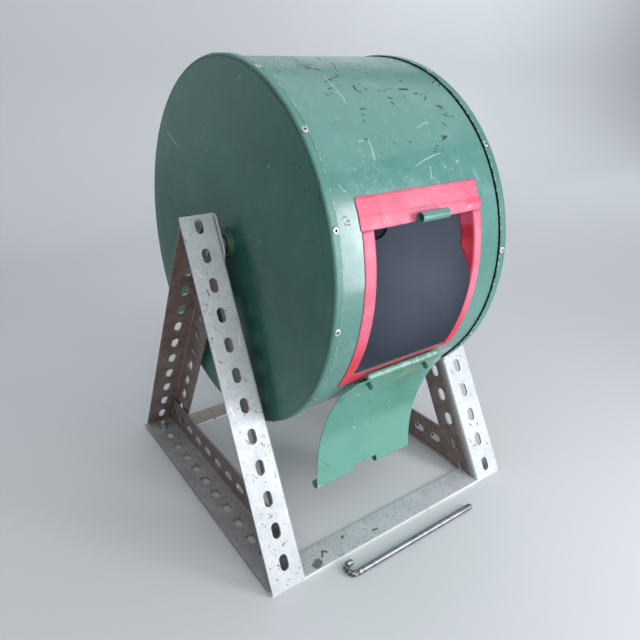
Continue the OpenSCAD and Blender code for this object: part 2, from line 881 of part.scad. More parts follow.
module door_panel() {
    eye_top_a = eye_a + arc(2 * eye_r, drum_r);
    color("mediumseagreen") hung() difference() {
        drawn_out(door_x0, door_x1) difference() {
            union() {
                ring_part(door_r, door_r + sheet_t, door_low_a, eye_a);
                eye_circle(eye_r);
            }
            eye_circle(eye_bore_r);
        }
        strip(
            eye_x0 - eye_end_gap, eye_x1 + eye_end_gap,
            inner_r, drum_r + 2 * eye_rise, door_edge_a, eye_top_a
        );
        door_corner(door_x0, 1);
        door_corner(door_x1, -1);
        door_rivet_places() rivet_hole();
    }
}

// The door's leaf lies on the door above the barrel and has two knuckles.
module door_hinge_leaf() {
    r0 = door_r + sheet_t;
    low_a = hinge_a - arc(leaf_start, drum_r);
    start_a = hinge_a + arc(leaf_start, drum_r);
    root_a = hinge_a + arc(barrel_r / 2, drum_r);
    color("mediumaquamarine") hung() difference() {
        drawn_out(hinge_x0, hinge_x1) difference() {
            union() {
                hinge_circle(barrel_r);
                ring_part(r0, r0 + leaf_t, root_a, hinge_a + arc(leaf_w, drum_r));
            }
            hinge_circle(hinge_pin_r + hinge_pin_clear);
        }
        for (i = [0:2:knuckles - 1]) knuckle_gap_cut(i, low_a, start_a);
        door_rivet_places() rivet_hole();
    }
}

module door_hinge_rivets() {
    color("mediumseagreen") hung() door_rivet_places() rivet(leaf_t + sheet_t, door_tail_h, hinge_head_r);
}

// The latch pin lies on the ground, its hook to the left.
module latch_pin() {
    tip_r = 0.7 * pin_r;
    color("silver") translate([pin_x, pin_y, pin_r]) {
        rotate([0, 90, 0]) cylinder(r = pin_r, h = pin_len - pin_r);
        translate([pin_len - pin_r, 0, 0]) rotate([0, 90, 0]) cylinder(r1 = pin_r, r2 = tip_r, h = pin_r);
        translate([0, hook_r, 0]) rotate([0, 0, 90]) rotate_extrude(angle = 180)
            translate([hook_r, 0]) circle(r = pin_r, $fn = 48);
        translate([0, 2 * hook_r, 0]) rotate([0, 90, 0]) cylinder(r = pin_r, h = hook_leg);
    }
}

left_front_leg();
left_back_leg();
left_base_rail();
right_front_leg();
right_back_leg();
right_base_rail();
front_strap();
rear_strap();
foot_screws();
foot_washers();
foot_nuts();
drum_shell();
left_end_cap();
right_end_cap();
left_cap_rivets();
right_cap_rivets();
left_hub();
right_hub();
left_backing_plate();
right_backing_plate();
left_axle_bolt();
right_axle_bolt();
left_hub_nut();
right_hub_nut();
right_spacer();
left_axle_washer();
right_axle_washer();
left_axle_nut();
right_axle_nut();
tape_top();
tape_patch();
tape_left();
tape_right();
tape_bottom();
drum_hinge_leaf();
hinge_pin();
drum_hinge_rivets();
door_panel();
door_hinge_leaf();
door_hinge_rivets();
latch_pin();
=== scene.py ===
import math
from functools import partial

import bmesh
import bpy
from mathutils import Matrix, Vector, noise


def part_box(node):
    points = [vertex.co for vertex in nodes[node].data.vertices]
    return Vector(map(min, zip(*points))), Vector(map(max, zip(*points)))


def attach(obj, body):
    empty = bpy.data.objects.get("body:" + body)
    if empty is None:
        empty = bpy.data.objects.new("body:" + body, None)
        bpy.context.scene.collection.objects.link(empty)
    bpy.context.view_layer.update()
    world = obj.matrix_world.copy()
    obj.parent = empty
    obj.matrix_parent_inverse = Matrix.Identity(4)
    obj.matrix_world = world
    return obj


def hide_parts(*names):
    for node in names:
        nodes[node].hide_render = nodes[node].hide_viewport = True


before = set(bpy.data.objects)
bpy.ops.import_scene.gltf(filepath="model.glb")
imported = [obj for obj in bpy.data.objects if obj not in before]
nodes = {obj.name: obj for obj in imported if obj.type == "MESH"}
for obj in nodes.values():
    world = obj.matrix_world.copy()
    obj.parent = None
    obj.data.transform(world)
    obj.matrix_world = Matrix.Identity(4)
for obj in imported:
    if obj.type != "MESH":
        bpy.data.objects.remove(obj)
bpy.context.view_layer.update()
print("frame loaded:", len(nodes), "nodes")

mm = 0.001
# In metres: the axle's height, the shell's radius, and the outer faces of the two end caps.
drum = {"axle": 0.2933, "radius": 0.183, "left": -0.116, "right": 0.091}
# In metres along the axle, and in degrees up around the shell from the front.
mouth = {"left": -0.0715, "right": 0.0475, "top": 14.9, "low": -30.0}


def addThing(name, data):
    thing = bpy.data.objects.new(name, data)
    bpy.context.scene.collection.objects.link(thing)
    return thing


# The camera stands where the photograph's did.

camera = {
    "place": (-0.3717, -0.4999, 0.4564),
    "yaw": 31.999, "pitch": 18.36, "roll": -0.831,
    "lens": 31.743, "shift": (0.0802, -0.0866),
}


def addCamera():
    yaw, pitch, roll = (math.radians(camera[k]) for k in ("yaw", "pitch", "roll"))
    ahead = Vector((math.sin(yaw) * math.cos(pitch), math.cos(yaw) * math.cos(pitch), -math.sin(pitch)))
    side = Vector((math.cos(yaw), -math.sin(yaw), 0))
    up = side.cross(ahead)
    side, up = side * math.cos(roll) + up * math.sin(roll), up * math.cos(roll) - side * math.sin(roll)
    data = bpy.data.cameras.new("camera")
    data.sensor_width = 36
    data.lens = camera["lens"]
    data.shift_x, data.shift_y = camera["shift"]
    data.clip_start = 0.02
    thing = addThing("camera", data)
    turned = Matrix((side, up, -ahead)).transposed().to_4x4()
    thing.matrix_world = Matrix.Translation(camera["place"]) @ turned
    bpy.context.scene.camera = thing


lights = {
    "window": {"place": (0.45, -1.9, 0.76), "aim": (0, -0.05, 0.26), "size": (1.6, 1.12), "watts": 12.6,
               "colour": (1, 0.99, 0.97)},
    "pane": {"place": (0.41, -0.72, 0.35), "aim": (-0.095, -0.18, 0.35), "size": (0.16, 0.62), "watts": 3.3,
             "colour": (0.95, 0.94, 1)},
    "fill": {"place": (-0.6, -1.0, 0.66), "aim": (0.0, -0.1, 0.3), "size": (0.6, 0.6), "watts": 2.9,
             "colour": (1, 0.99, 0.97)},
    "wall": {"place": (2.4, 0.3, 1.5), "aim": (2.6, 1.5, 0.9), "size": (2.2, 1.0), "watts": 20,
             "colour": (0.94, 0.98, 1)},
    "ceiling": {"place": (0.25, -0.1, 1.9), "aim": (0.1, 0.1, 0.2), "size": (3.0, 3.0), "watts": 22,
                "colour": (0.94, 0.98, 1)},
    "room": {"colour": (0.86, 0.92, 1.0), "strength": 0.34},
}


def addLight(name, settings):
    data = bpy.data.lights.new(name, "AREA")
    data.shape = "RECTANGLE"
    data.size, data.size_y = settings["size"]
    data.energy = settings["watts"]
    data.color = settings["colour"]
    thing = addThing(name, data)
    thing.location = settings["place"]
    toAim = Vector(settings["aim"]) - Vector(settings["place"])
    thing.rotation_euler = toAim.to_track_quat("-Z", "Y").to_euler()


def addRoom():
    world = bpy.data.worlds.new("room")
    world.use_nodes = True
    back = world.node_tree.nodes["Background"]
    back.inputs["Color"].default_value = (*lights["room"]["colour"], 1)
    back.inputs["Strength"].default_value = lights["room"]["strength"]
    bpy.context.scene.world = world


def tone(red, green, blue):
    def straight(v):
        v /= 255
        return v / 12.92 if v <= 0.04045 else ((v + 0.055) / 1.055) ** 2.4
    return (straight(red), straight(green), straight(blue), 1)


def feed(tree, node, inputs):
    for key, value in inputs.items():
        if isinstance(value, bpy.types.NodeSocket):
            tree.links.new(value, node.inputs[key])
        elif value is not None:
            node.inputs[key].default_value = value


def putNode(tree, kind, inputs, output=0, **settings):
    node = tree.nodes.new(kind)
    for key, value in settings.items():
        setattr(node, key, value)
    feed(tree, node, inputs)
    return node.outputs[output]


def startGroup(name, kind, inputs, result, resultSort):
    # A new node group, with the sockets its inputs give and the one its result goes to.
    tree = bpy.data.node_groups.new(name, kind)
    for socket, sort in inputs.items():
        tree.interface.new_socket(socket, in_out="INPUT", socket_type="NodeSocket" + sort)
    tree.interface.new_socket(result, in_out="OUTPUT", socket_type="NodeSocket" + resultSort)
    start = tree.nodes.new("NodeGroupInput").outputs
    return tree, start, tree.nodes.new("NodeGroupOutput").inputs[result]


def strokeGroup():
    # A mask that is 1 along the line from From to To and fades out past Half Width, laid over the mask Under.
    tree, start, result = startGroup("stroke", "ShaderNodeTree", {
        "Place": "Vector", "From": "Vector", "To": "Vector", "Half Width": "Float", "Softness": "Float",
        "Under": "Float",
    }, "Mask", "Float")

    def vector(operation, *inputs, output=0):
        return putNode(tree, "ShaderNodeVectorMath", dict(enumerate(inputs)), output, operation=operation)

    def number(operation, a, b, clamp=False):
        return putNode(tree, "ShaderNodeMath", {0: a, 1: b}, operation=operation, use_clamp=clamp)

    half, under = start["Half Width"], start["Under"]
    along = vector("SUBTRACT", start["To"], start["From"])
    # The tiny share of Under makes strokes run one by one, as many at once don't fit in one shader.
    queued = vector("MULTIPLY_ADD", under, (1e-9, 1e-9, 0), start["Place"])
    offset = vector("SUBTRACT", queued, start["From"])
    share = number("DIVIDE", vector("DOT_PRODUCT", offset, along, output="Value"),
                   vector("DOT_PRODUCT", along, along, output="Value"), True)
    nearest = putNode(tree, "ShaderNodeVectorMath", {0: along, "Scale": share}, operation="SCALE")
    gap = vector("LENGTH", vector("SUBTRACT", offset, nearest), output="Value")
    fade = putNode(tree, "ShaderNodeMapRange", {
        "Value": gap, "From Min": half, "From Max": number("ADD", half, start["Softness"]), "To Min": 1.0,
        "To Max": 0.0,
    }, interpolation_type="SMOOTHSTEP")
    tree.links.new(number("MAXIMUM", fade, under), result)
    return tree


stroke = strokeGroup()


class Finish:
    # A procedural material, put together node by node.
    def __init__(self, name):
        self.material = bpy.data.materials.new(name)
        self.material.use_nodes = True
        self.tree = self.material.node_tree
        self.shader = self.tree.nodes["Principled BSDF"]
        coords = self.tree.nodes.new("ShaderNodeTexCoord")
        self.place = coords.outputs["Object"]
        self.facing = coords.outputs["Normal"]
        self.colour = None

    def put(self, kind, inputs, output=0, **settings):
        return putNode(self.tree, kind, inputs, output, **settings)

    def sum(self, operation, a, b=0.0):
        return self.put("ShaderNodeMath", {0: a, 1: b}, operation=operation)

    def more(self, a, b):
        return self.sum("ADD", a, b)

    def less(self, a, b):
        return self.sum("SUBTRACT", a, b)

    def both(self, a, b, *others):
        a = self.sum("MULTIPLY", a, b)
        return self.both(a, *others) if others else a

    def either(self, a, b):
        return self.sum("MAXIMUM", a, b)

    def apart(self, a, b):
        return self.sum("ABSOLUTE", self.less(a, b))

    def inMm(self, metres):
        return self.both(metres, 1000.0)

    def vectors(self, operation, a, b):
        return self.put("ShaderNodeVectorMath", {0: a, 1: b}, operation=operation)

    def split(self, vector):
        self.put("ShaderNodeSeparateXYZ", {0: vector})
        return self.tree.nodes[-1].outputs

    def join(self, x, y, z=0.0):
        return self.put("ShaderNodeCombineXYZ", {0: x, 1: y, 2: z})

    def noise(self, scale, detail=2.0, rough=0.5, bend=0.0, output=0, place=None):
        return self.put("ShaderNodeTexNoise", {"Vector": place or self.place, "Scale": scale, "Detail": detail,
                                               "Roughness": rough, "Distortion": bend}, output)

    def streaks(self, scales, detail, rough=0.5):
        # A noise drawn out by a different scale along each axis.
        return self.noise(1, detail, rough, place=self.vectors("MULTIPLY", self.place, scales))

    def hairlines(self, scale):
        # Thin lines along a noise's middle contour.
        return self.ramp(self.apart(self.noise(scale, 2, 0.6), 0.5), 0.0, 0.009, 1.0, 0.0)

    def cells(self, scale, output="Distance"):
        return self.put("ShaderNodeTexVoronoi", {"Vector": self.place, "Scale": scale}, output)

    def ramp(self, value, low, high, start=0.0, end=1.0):
        # value is a socket, or a noise's scale, detail, roughness and bend.
        value = self.noise(*value) if isinstance(value, tuple) else value
        return self.put("ShaderNodeMapRange", {"Value": value, "From Min": low, "From Max": high,
                                               "To Min": start, "To Max": end}, interpolation_type="SMOOTHSTEP")

    def mix(self, factor, under, over):
        return self.put("ShaderNodeMix", {0: factor, 2: under, 3: over}, data_type="FLOAT")

    def blend(self, factor, under, over):
        # Each colour is a socket or its red, green and blue.
        under, over = (tone(*c) if isinstance(c, tuple) else c for c in (under, over))
        return self.put("ShaderNodeMix", {0: factor, 6: under, 7: over}, 2, data_type="RGBA")

    def coat(self, mask, *over):
        # Lays a colour over what is painted so far.
        self.colour = self.blend(mask, self.colour, over if len(over) == 3 else over[0])

    def specks(self, scale, size, share):
        # Scattered dots: size is each dot's radius in cells, share how many cells have one.
        near = self.ramp(self.cells(scale), size * 0.6, size, 1.0, 0.0)
        pick = self.split(self.cells(scale, "Color"))[0]
        return self.both(near, self.sum("LESS_THAN", pick, share))

    def strokes(self, place, marks, softness):
        mask = 0.0
        for x, y, right, up, half in marks:
            mask = self.put("ShaderNodeGroup", {
                "Place": place, "From": (x, y, 0), "To": (x + right, y + up, 0), "Half Width": half,
                "Softness": softness, "Under": mask,
            }, node_tree=stroke)
        return mask

    def ragged(self, place, amount, scale):
        # Shifts a place in mm a little, so that marks get uneven edges.
        shift = self.vectors("SUBTRACT", self.noise(scale, 2, output="Color"), (0.5, 0.5, 0.5))
        return self.vectors("ADD", place, self.vectors("MULTIPLY", shift, (amount, amount, 0)))

    def bump(self, height, distance, strength):
        return self.put("ShaderNodeBump", {"Height": height, "Distance": distance, "Strength": strength})

    def done(self, rough, metal=0.0, normal=None, **others):
        feed(self.tree, self.shader, {
            "Base Color": self.colour, "Roughness": rough, "Metallic": metal, "Normal": normal, **others,
        })
        return self.material


def aroundDrum(f):
    # Places on the drum in mm: along the axle, and up around the shell from the front.
    x, y, z = f.split(f.place)
    up = f.less(z, drum["axle"])
    front = f.both(y, -1.0)
    turn = f.sum("ARCTAN2", up, front)
    radius = f.sum("SQRT", f.more(f.both(up, up), f.both(y, y)))
    flat = f.join(f.inMm(x), f.both(turn, drum["radius"] * 1000))
    return flat, turn, f.inMm(radius)


def looksIn(f):
    # 1 on the faces that look towards the drum's axle.
    _, y, z = f.split(f.place)
    _, back, up = f.split(f.facing)
    outwards = f.more(f.both(y, back), f.both(f.less(z, drum["axle"]), up))
    return f.sum("LESS_THAN", outwards, -0.09)


def slatePaint(f):
    # The grey paint inside the drum.
    return f.blend(f.ramp((12, 3, 0.6), 0.35, 0.7), (197, 205, 219), (183, 191, 205))


# Each mark is a line in mm: where it starts, how far it runs and its half width.
shellMarks = {
    "dark": [
        (-45, 266, -2, -9, .35), (-50.5, 250, -2, -8, .3), (-55, 239.5, 2.5, -6, .4), (-58.5, 230.5, 5, -3, .35),
        (-60, 225.5, 7.5, -6.5, .7), (-53.5, 227.5, 3, -3, .5), (-40.5, 243, 3.5, -5, .3),
        (-16.5, 262.5, -9.5, -20, .3), (-78.5, 215, 4, 0.5, .3), (-66.5, 223.5, 2.5, -2.5, .35),
        (-65, 216.5, 5, -1, .3), (-55.5, 248.5, -5, -15, .25), (-18, 235.5, -3.5, -8.5, .35),
        (-22.5, 225.5, -3, -7, .3), (-35.5, 204.5, 2, -2.5, .7), (-43, 199, 7, 1.5, .5), (-50.5, 195, 4.5, 1.5, .45),
        (-56, 192, 3, 1.5, .4), (-51, 191.5, 2.5, 1.5, .4), (-45.5, 194, 2, 0.5, .3), (-46, 186, 1.5, -0.5, .35),
        (-59.5, 181.5, 4.5, 1, .3), (-66, 174.5, 1.5, -2.5, .3), (-61.5, 175.5, 3, -1.5, .25),
        (-7.5, 216.5, 2.5, -2.5, .35), (-28.5, 185.5, -2, -5, .6), (-30.5, 180.5, 0, -3.5, .7),
        (-30.5, 177, 4, -2, .6), (-18, 180.5, 0.5, -0.5, .5), (-20.5, 177.5, 1, -0.5, .4), (-21.5, 188, 2, -1.5, .3),
        (-5.5, 176.5, 2, 0, .35), (1, 176.5, 2, 0, .3), (8, 178, 3, 0.5, .35), (21, 178, 9.5, -1, 1.1),
        (32, 190.5, 2.5, 1.5, .4), (-1, 167.5, 3, -2.5, .6), (-2, 160, 2, -2, .6), (18, 166, 1, 0.5, .4),
        (35, 170, 3.5, 1, .6), (41.5, 169, 1, -1, .4), (46, 167, -1, -2.5, .35), (45, 164.5, -5, -4, .3),
        (50.5, 153, 5, -3.5, .6), (54.5, 153.5, 1.5, -2.5, .5), (52.5, 142, 5, -2.5, .5), (56.5, 144, 1, -0.5, .35),
        (61, 138.5, 1.5, 1, .4), (44, 133, 1.5, -0.5, .3), (45, 130.5, 1.5, 0, .3), (-40.5, 154, 4.5, 0, .6),
        (-42.5, 148, 0.5, -0.5, .5), (-45.5, 140.5, 0, -0.5, .6), (-53.5, 123, 2, -0.5, .6), (-24.5, 118, 0, -2, .5),
        (-6.5, 116.5, 1, -0.5, .4), (34.5, 119, 6, -0.5, .6), (39.5, 118, -5.5, -2, .8), (24, 110.5, 1, -0.5, .4),
        (20, 108.5, 2, -1, .4), (17, 105, 2.5, -0.5, .4), (81, 184.5, -5, -3.5, .3), (38.5, 214.5, 0.5, -1, .4),
        (20, 210, 1, -0.5, .35), (50, 238.5, 5.5, -4.5, .3), (62.5, 202.5, 0.5, -1, .3), (63.5, 227, 2.5, -2, .3),
        (70.5, 222.5, 9, -2, .45), (71.5, 186, 8, 4.5, .3), (-58, 221, 10, -7, .8), (-62, 228, 6, -6, .6),
        (-49, 219, 5, -4, .5), (-52, 231, 7, -5, .4), (58.5, -125, 1.1, 0.7, .7), (79.6, -123.8, 1, 0.6, .6),
        (-101, 60, 1.5, 1.2, .15), (-98.5, 62, 2.5, -1, .2), (-95, 59.5, 1, -2.5, .15), (-99.5, 56.5, 2, -1.5, .15),
        (-97.5, 58.5, 1.5, -1, .2), (-95.5, 55.5, 1.5, -1, .15),
    ],
    "white": [
        (-51, 202.5, -0.5, -11.5, .2), (-51, 192.5, -1, -13.5, .3), (-52, 179, 0.5, -9, .4),
        (-51.5, 170, -1, -8, .35), (-51, 123, 0, -9.5, .35), (-51.5, 112, -1, -8, .55), (9.5, 129.5, 10, 3.5, .15),
        (19.5, 133.5, 7.5, 1.5, .35), (-9, 94.5, 13, 4.5, .25), (4, 99, 13, 3, .4), (17, 102, 7.5, 1, .2),
        (-96.5, 87, 2, -3.5, .3), (-93, 82.5, 2, -2.5, .3), (-61.5, 121.5, 4.5, 0.5, .3), (23.5, 91.5, 1, -2, .35),
        (6.5, 92.5, -3, -12, .25), (40.5, 94, 1.5, -1.5, .5), (59, 84, 1, -4.5, .2), (60.5, 78.5, 2, -5, .2),
        (32, 87.5, 0.5, -1, .35), (-23.5, 87, 0.5, -1, .35), (25, 117.5, 1.5, -0.5, .25), (-77, 98, 3, -1, .2),
        (-48, 71.5, 0.5, -0.5, .25),
    ],
    "pale": [
        (68, -128, 6, 6, 3.2), (-63.5, 112.5, -10, -31.5, 1.2), (-61, 107, -7, -27.5, 1.6),
        (-56.5, 105, -3, -22, 1.4), (-53.5, 98.5, 11.5, -8.5, 1.5), (-44.5, 93, 3, -12, 1.5), (7, 92, -4, -12.5, 1),
        (10.5, 87.5, -2, -10.5, 1.3), (23.5, 91, 7, -5.5, 1.5), (42, 92.5, 0, -11.5, 1.4),
        (61, 82.5, 5.5, -18.5, 1.6), (-32, 90.5, 11, -7.5, 1.4), (-83.5, 85.5, 6.5, -6, 1.5),
        (69, 72, 8.5, -12.5, 1.8),
    ],
    "cloud": [(-76.5, 137.5, 10.5, 2.5, 3.5), (-99, 60, 4.5, -5.5, 3)],
}


def greenPaint(name, light, deep, rough, wear=0.35, dust=0.16):
    # Glossy enamel with cloudy colour, fine pits and scattered small chips.
    f = Finish(name)
    f.colour = f.blend(f.ramp((7, 3, 0.6), 0.35, 0.68), light, deep)
    f.coat(f.ramp((55, 3, 0.7), 0.5, 0.8, 0, dust), 150, 190, 180)
    f.coat(f.ramp((140, 2, 0.6, 0.6), 0.62, 0.8, 0, wear), 38, 66, 60)
    f.coat(f.specks(210, 0.16, 0.05), 52, 60, 58)
    return f, f.ramp((24, 3, 0.6), 0.3, 0.7, rough - 0.06, rough + 0.1), f.noise(260)


def shellFinish():
    f, rough, peel = greenPaint("shellPaint", (85, 138, 130), (76, 130, 120), 0.2)
    flat, turn, _ = aroundDrum(f)
    uneven = f.ragged(flat, 1.8, 420)
    fine = f.ramp((500, 2, 0.7), 0.45, 0.62)
    pale = f.both(f.strokes(uneven, shellMarks["pale"], 4.5), f.ramp((330, 3, 0.8, 1.5), 0.5, 0.7, 0, 0.5))
    f.coat(pale, 160, 194, 186)
    cloud = f.both(f.strokes(uneven, shellMarks["cloud"], 5), f.ramp((300, 3, 0.8, 2), 0.45, 0.6, 0, 0.6))
    f.coat(cloud, 88, 110, 102)
    worn = f.both(f.ramp((420, 3, 0.75), 0.35, 0.48), f.strokes(uneven, shellMarks["dark"], 0.5))
    f.coat(worn, 10, 18, 19)
    bright = f.both(f.ramp((600, 2, 0.7), 0.3, 0.45), f.strokes(f.ragged(flat, 0.5, 300), shellMarks["white"], 0.3))
    f.coat(f.both(bright, 0.5), 206, 220, 214)
    # Scattered chips over the top.
    high = f.ramp(turn, 0.75, 1.3)
    f.coat(f.both(f.specks(85, 0.14, 0.3), high, fine), 50, 66, 64)
    # Hairline scratches follow the contours of a noise, in patches near the top.
    f.coat(f.both(f.hairlines(48), f.ramp((38,), 0.51, 0.57), f.ramp(turn, 0.95, 1.25, 0, 0.95)), 28, 40, 40)
    # Painted shade: a dark line on the shell beside each cap's flange, where the flange's edge stands off the shell.
    along = f.split(flat)[0]
    leftGapShade = f.ramp(f.apart(along, drum["left"] * 1000 + 9.6), 0.5, 1.5, 0.9, 0)
    rightGapShade = f.ramp(f.apart(along, drum["right"] * 1000 - 8.6), 0.8, 1.8, 1, 0)
    f.coat(f.both(leftGapShade, f.ramp((240, 3, 0.8), 0.42, 0.6)), 70, 96, 86)
    f.coat(rightGapShade, 16, 26, 25)
    inside = looksIn(f)
    f.coat(inside, f.blend(f.ramp((160, 3, 0.7), 0.58, 0.8, 0, 0.4), slatePaint(f), (206, 212, 226)))
    rough = f.mix(inside, rough, 0.55)
    rough = f.mix(f.either(worn, pale), rough, 0.6)
    height = f.less(f.both(peel, 0.25), f.both(worn, 0.3))
    return f.done(rough, normal=f.bump(height, 0.0002, 0.5), **{"Specular IOR Level": 0.8})


discMarks = {
    "white": [
        (125.5, 399, -26.5, -17, .3), (-47, 457.5, -0.5, -0.5, .5), (-89, 384, -0.5, -0.5, .4),
        (31, 387, 0.5, 0.5, .4), (-69, 312, -0.5, -0.5, .45), (60, 230, -8, -16, .25), (-10, 180, 6, -12, .25),
        (100, 300, -8, -14, .25),
    ],
    "dark": [
        (-129.5, 391, -0.5, -0.5, .8), (-137.5, 389.5, -0.5, -0.5, .8), (-145, 371.5, -0.5, -0.5, .8),
        (-157, 386.5, -0.5, -0.5, .7), (-163, 381.5, -0.5, -0.5, .9), (-163.5, 370, 0, -1, .8),
        (-82.5, 457, -35, -23, .3),
    ],
}


def discFinish(name, side, light, deep):
    f, rough, peel = greenPaint(name, light, deep, 0.3, 0.25, 0.05)
    x, y, z = f.split(f.place)
    flat = f.join(f.inMm(y), f.inMm(z))
    _, turn, radius = aroundDrum(f)
    f.coat(f.ramp((3.2, 2, 0.5), 0.35, 0.7, 0, 0.6), deep)
    # Painted light: the upper part of the disc is lighter, fully on the left cap and less on the right.
    paintedTopLight = f.both(f.ramp(f.more(z, f.both(y, 0.35)), 0.3, 0.5, 0, 0.9), f.ramp((5, 2, 0.5), 0.3, 0.6, 0.8, 1))
    f.coat(f.both(paintedTopLight, 1 if side < 0 else 0.3), 88, 126, 120)
    scuffs = f.both(f.ramp(f.streaks((90, 420, 60), 3, 0.7), 0.63, 0.72), f.ramp((14, 2), 0.45, 0.65))
    f.coat(f.both(scuffs, 0.35), 112, 136, 128)
    if side < 0:
        uneven = f.ragged(flat, 1.2, 300)
        f.coat(f.strokes(uneven, discMarks["white"], 0.5), 178, 190, 184)
        f.coat(f.both(f.strokes(uneven, discMarks["dark"], 0.9), 0.9), 64, 48, 40)
    # The flange has the shell's lighter paint. Its corner is a more saturated green, with bare brown spots.
    facing = f.both(f.split(f.facing)[0], -1 * side)
    onFlange = f.ramp(f.sum("ABSOLUTE", facing), 0.45, 0.96, 1, 0)
    f.coat(onFlange, f.blend(f.ramp((9, 3, 0.6), 0.35, 0.68), (84, 136, 126), (72, 124, 112)))
    fromFace = f.apart(f.inMm(x), (drum["left"] if side < 0 else drum["right"]) * 1000)
    corner = f.ramp(fromFace, 1.6, 3.4, 1, 0)
    corner = f.both(corner, f.ramp(radius, 182.2, 183.4))
    high = f.ramp(turn, 0.35, 0.8)
    rim = f.both(f.ramp(f.apart(radius, 182.9), 0.2, 0.9, 0.9, 0), f.ramp(fromFace, 0.4, 0.9, 1, 0))
    worn = f.both(f.ramp((60, 3, 0.8), 0.3, 0.55, 0.25, 1), f.ramp(high, 0, 1, 0.6, 1))
    f.coat(f.both(rim, worn), 26, 36, 33)
    f.coat(f.both(corner, f.ramp((60, 3, 0.8), 0.4, 0.66, 0.2, 0.6)), 62, 108, 92)
    f.coat(f.both(corner, f.ramp((170, 3, 0.8), 0.62, 0.68)), 96, 60, 50)
    # Painted highlight: a pale broken line along the flange's end.
    lip = f.ramp(f.apart(fromFace, 8.4), 0.15, 0.5, 1, 0)
    f.coat(f.both(lip, f.ramp((230, 3, 0.8), 0.46, 0.6)), 204, 218, 208)
    # Painted shade: a dark line on the flange near its end, where it stands off the shell, stronger towards the top.
    seatShadow = f.both(f.ramp(f.apart(fromFace, 7.5), 0.1, 0.5), f.ramp(high, 0, 1, 0.25, 0.85))
    seatShadow = f.less(f.ramp(high, 0, 1, 0.25, 0.85), seatShadow)
    f.coat(f.both(seatShadow, onFlange, f.ramp((120, 3, 0.8), 0.36, 0.52)), 38, 62, 54)
    f.coat(f.both(onFlange, f.specks(150, 0.16, 0.1), 0.8), 60, 62, 56)
    f.coat(f.both(onFlange, f.specks(190, 0.1, 0.08), 0.8), 190, 204, 196)
    inside = f.both(f.sum("GREATER_THAN", facing, 0.5), f.sum("LESS_THAN", radius, drum["radius"] * 1000 - 0.5))
    f.coat(inside, f.blend(f.both(f.specks(60, 0.1, 0.12), 0.7), slatePaint(f), (226, 229, 234)))
    return f.done(f.mix(inside, rough, 0.5), normal=f.bump(peel, 0.00008, 0.5))


doorMarks = {
    "tan": [(7, 173, 13, 4, 3.5)],
    "dark": [(-71, 165, 1.5, 1.5, .8), (-68, 168, 2, 1.5, .6), (42, 184, 1.5, 1, 1.3), (26, 150, 1, -1, .4)],
    "crease": [(-67.5, 78.4, 11.1, -13.7, .3), (-69, 70, 9, -7, .2)],
    "white": [(-46.5, 164, 1, -1, .7), (-30, 108, 0.5, -1, .5), (14, 128, 0.5, -1, .5)],
}


def doorFinish():
    f, rough, peel = greenPaint("doorPaint", (91, 155, 139), (81, 146, 128), 0.3, 0.14)
    x, _, z = f.split(f.place)
    flat = f.join(f.inMm(x), f.inMm(z))
    uneven = f.ragged(flat, 1.5, 300)
    # Painted sheen: the lower part of the door is lighter.
    paintedSheen = f.both(f.ramp(z, 0.120, 0.098, 0, 0.32), f.ramp((12, 2), 0.3, 0.6, 0.55, 1))
    f.coat(paintedSheen, 142, 196, 182)
    olive = f.both(f.ramp(z, 0.150, 0.188, 0, 0.5), f.ramp((30, 3), 0.35, 0.65))
    f.coat(olive, 128, 158, 116)
    f.coat(f.both(f.strokes(uneven, doorMarks["tan"], 5), f.ramp((70, 3, 0.6), 0.3, 0.6, 0.35, 0.65)), 158, 176, 140)
    f.coat(f.both(f.strokes(uneven, doorMarks["dark"], 0.7), 0.85), 44, 54, 50)
    f.coat(f.both(f.strokes(uneven, doorMarks["crease"], 0.8), 0.3), 50, 92, 84)
    f.coat(f.strokes(uneven, doorMarks["white"], 0.5), 206, 220, 210)
    # The free edge's paint is chipped to a thin brown and white line.
    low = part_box("door_panel")[0][2]
    fromEdge = f.apart(z, low + 0.0035)
    edge = f.both(f.ramp(fromEdge, 0.0006, 0.0022, 1, 0), f.ramp((170, 3, 0.8), 0.5, 0.62, 0, 0.85))
    f.coat(edge, f.blend(f.ramp((200, 2), 0.5, 0.6), (132, 120, 84), (206, 214, 200)))
    return f.done(rough, normal=f.bump(peel, 0.00008, 0.5))


def hingeFinish():
    f, rough, peel = greenPaint("hingePaint", (124, 172, 160), (104, 154, 142), 0.3, 0.5)
    x = f.split(f.place)[0]
    bare = f.both(f.ramp((75, 3, 0.7), 0.5, 0.62, 0, 0.7), f.ramp(x, -0.01, 0.03, 0.5, 1))
    f.coat(bare, 196, 206, 200)
    f.coat(f.ramp(f.streaks((20, 900, 900), 2, 0.6), 0.56, 0.68, 0, 0.7), 48, 66, 62)
    spots = f.both(f.specks(180, 0.24, 0.35), f.ramp(x, 0, 0.03, 0.15, 0.9))
    f.coat(spots, 30, 38, 36)
    return f.done(rough, normal=f.bump(peel, 0.0001, 0.5))


def rivetPaint():
    # Painted shade: the hinge rivets get a darker copy of the door's green.
    f, rough, peel = greenPaint("rivetPaint", (50, 94, 80), (36, 76, 66), 0.34, 0.6)
    return f.done(rough, normal=f.bump(peel, 0.0001, 0.5))


def hubFinish():
    f, rough, _ = greenPaint("hubPaint", (58, 92, 74), (44, 78, 62), 0.26, 0.6)
    rings = f.sum("SINE", f.both(f.split(f.place)[0], 2600))
    f.coat(f.ramp(rings, 0.3, 0.9, 0, 0.25), 120, 150, 132)
    return f.done(rough, normal=f.bump(rings, 0.0002, 0.4))


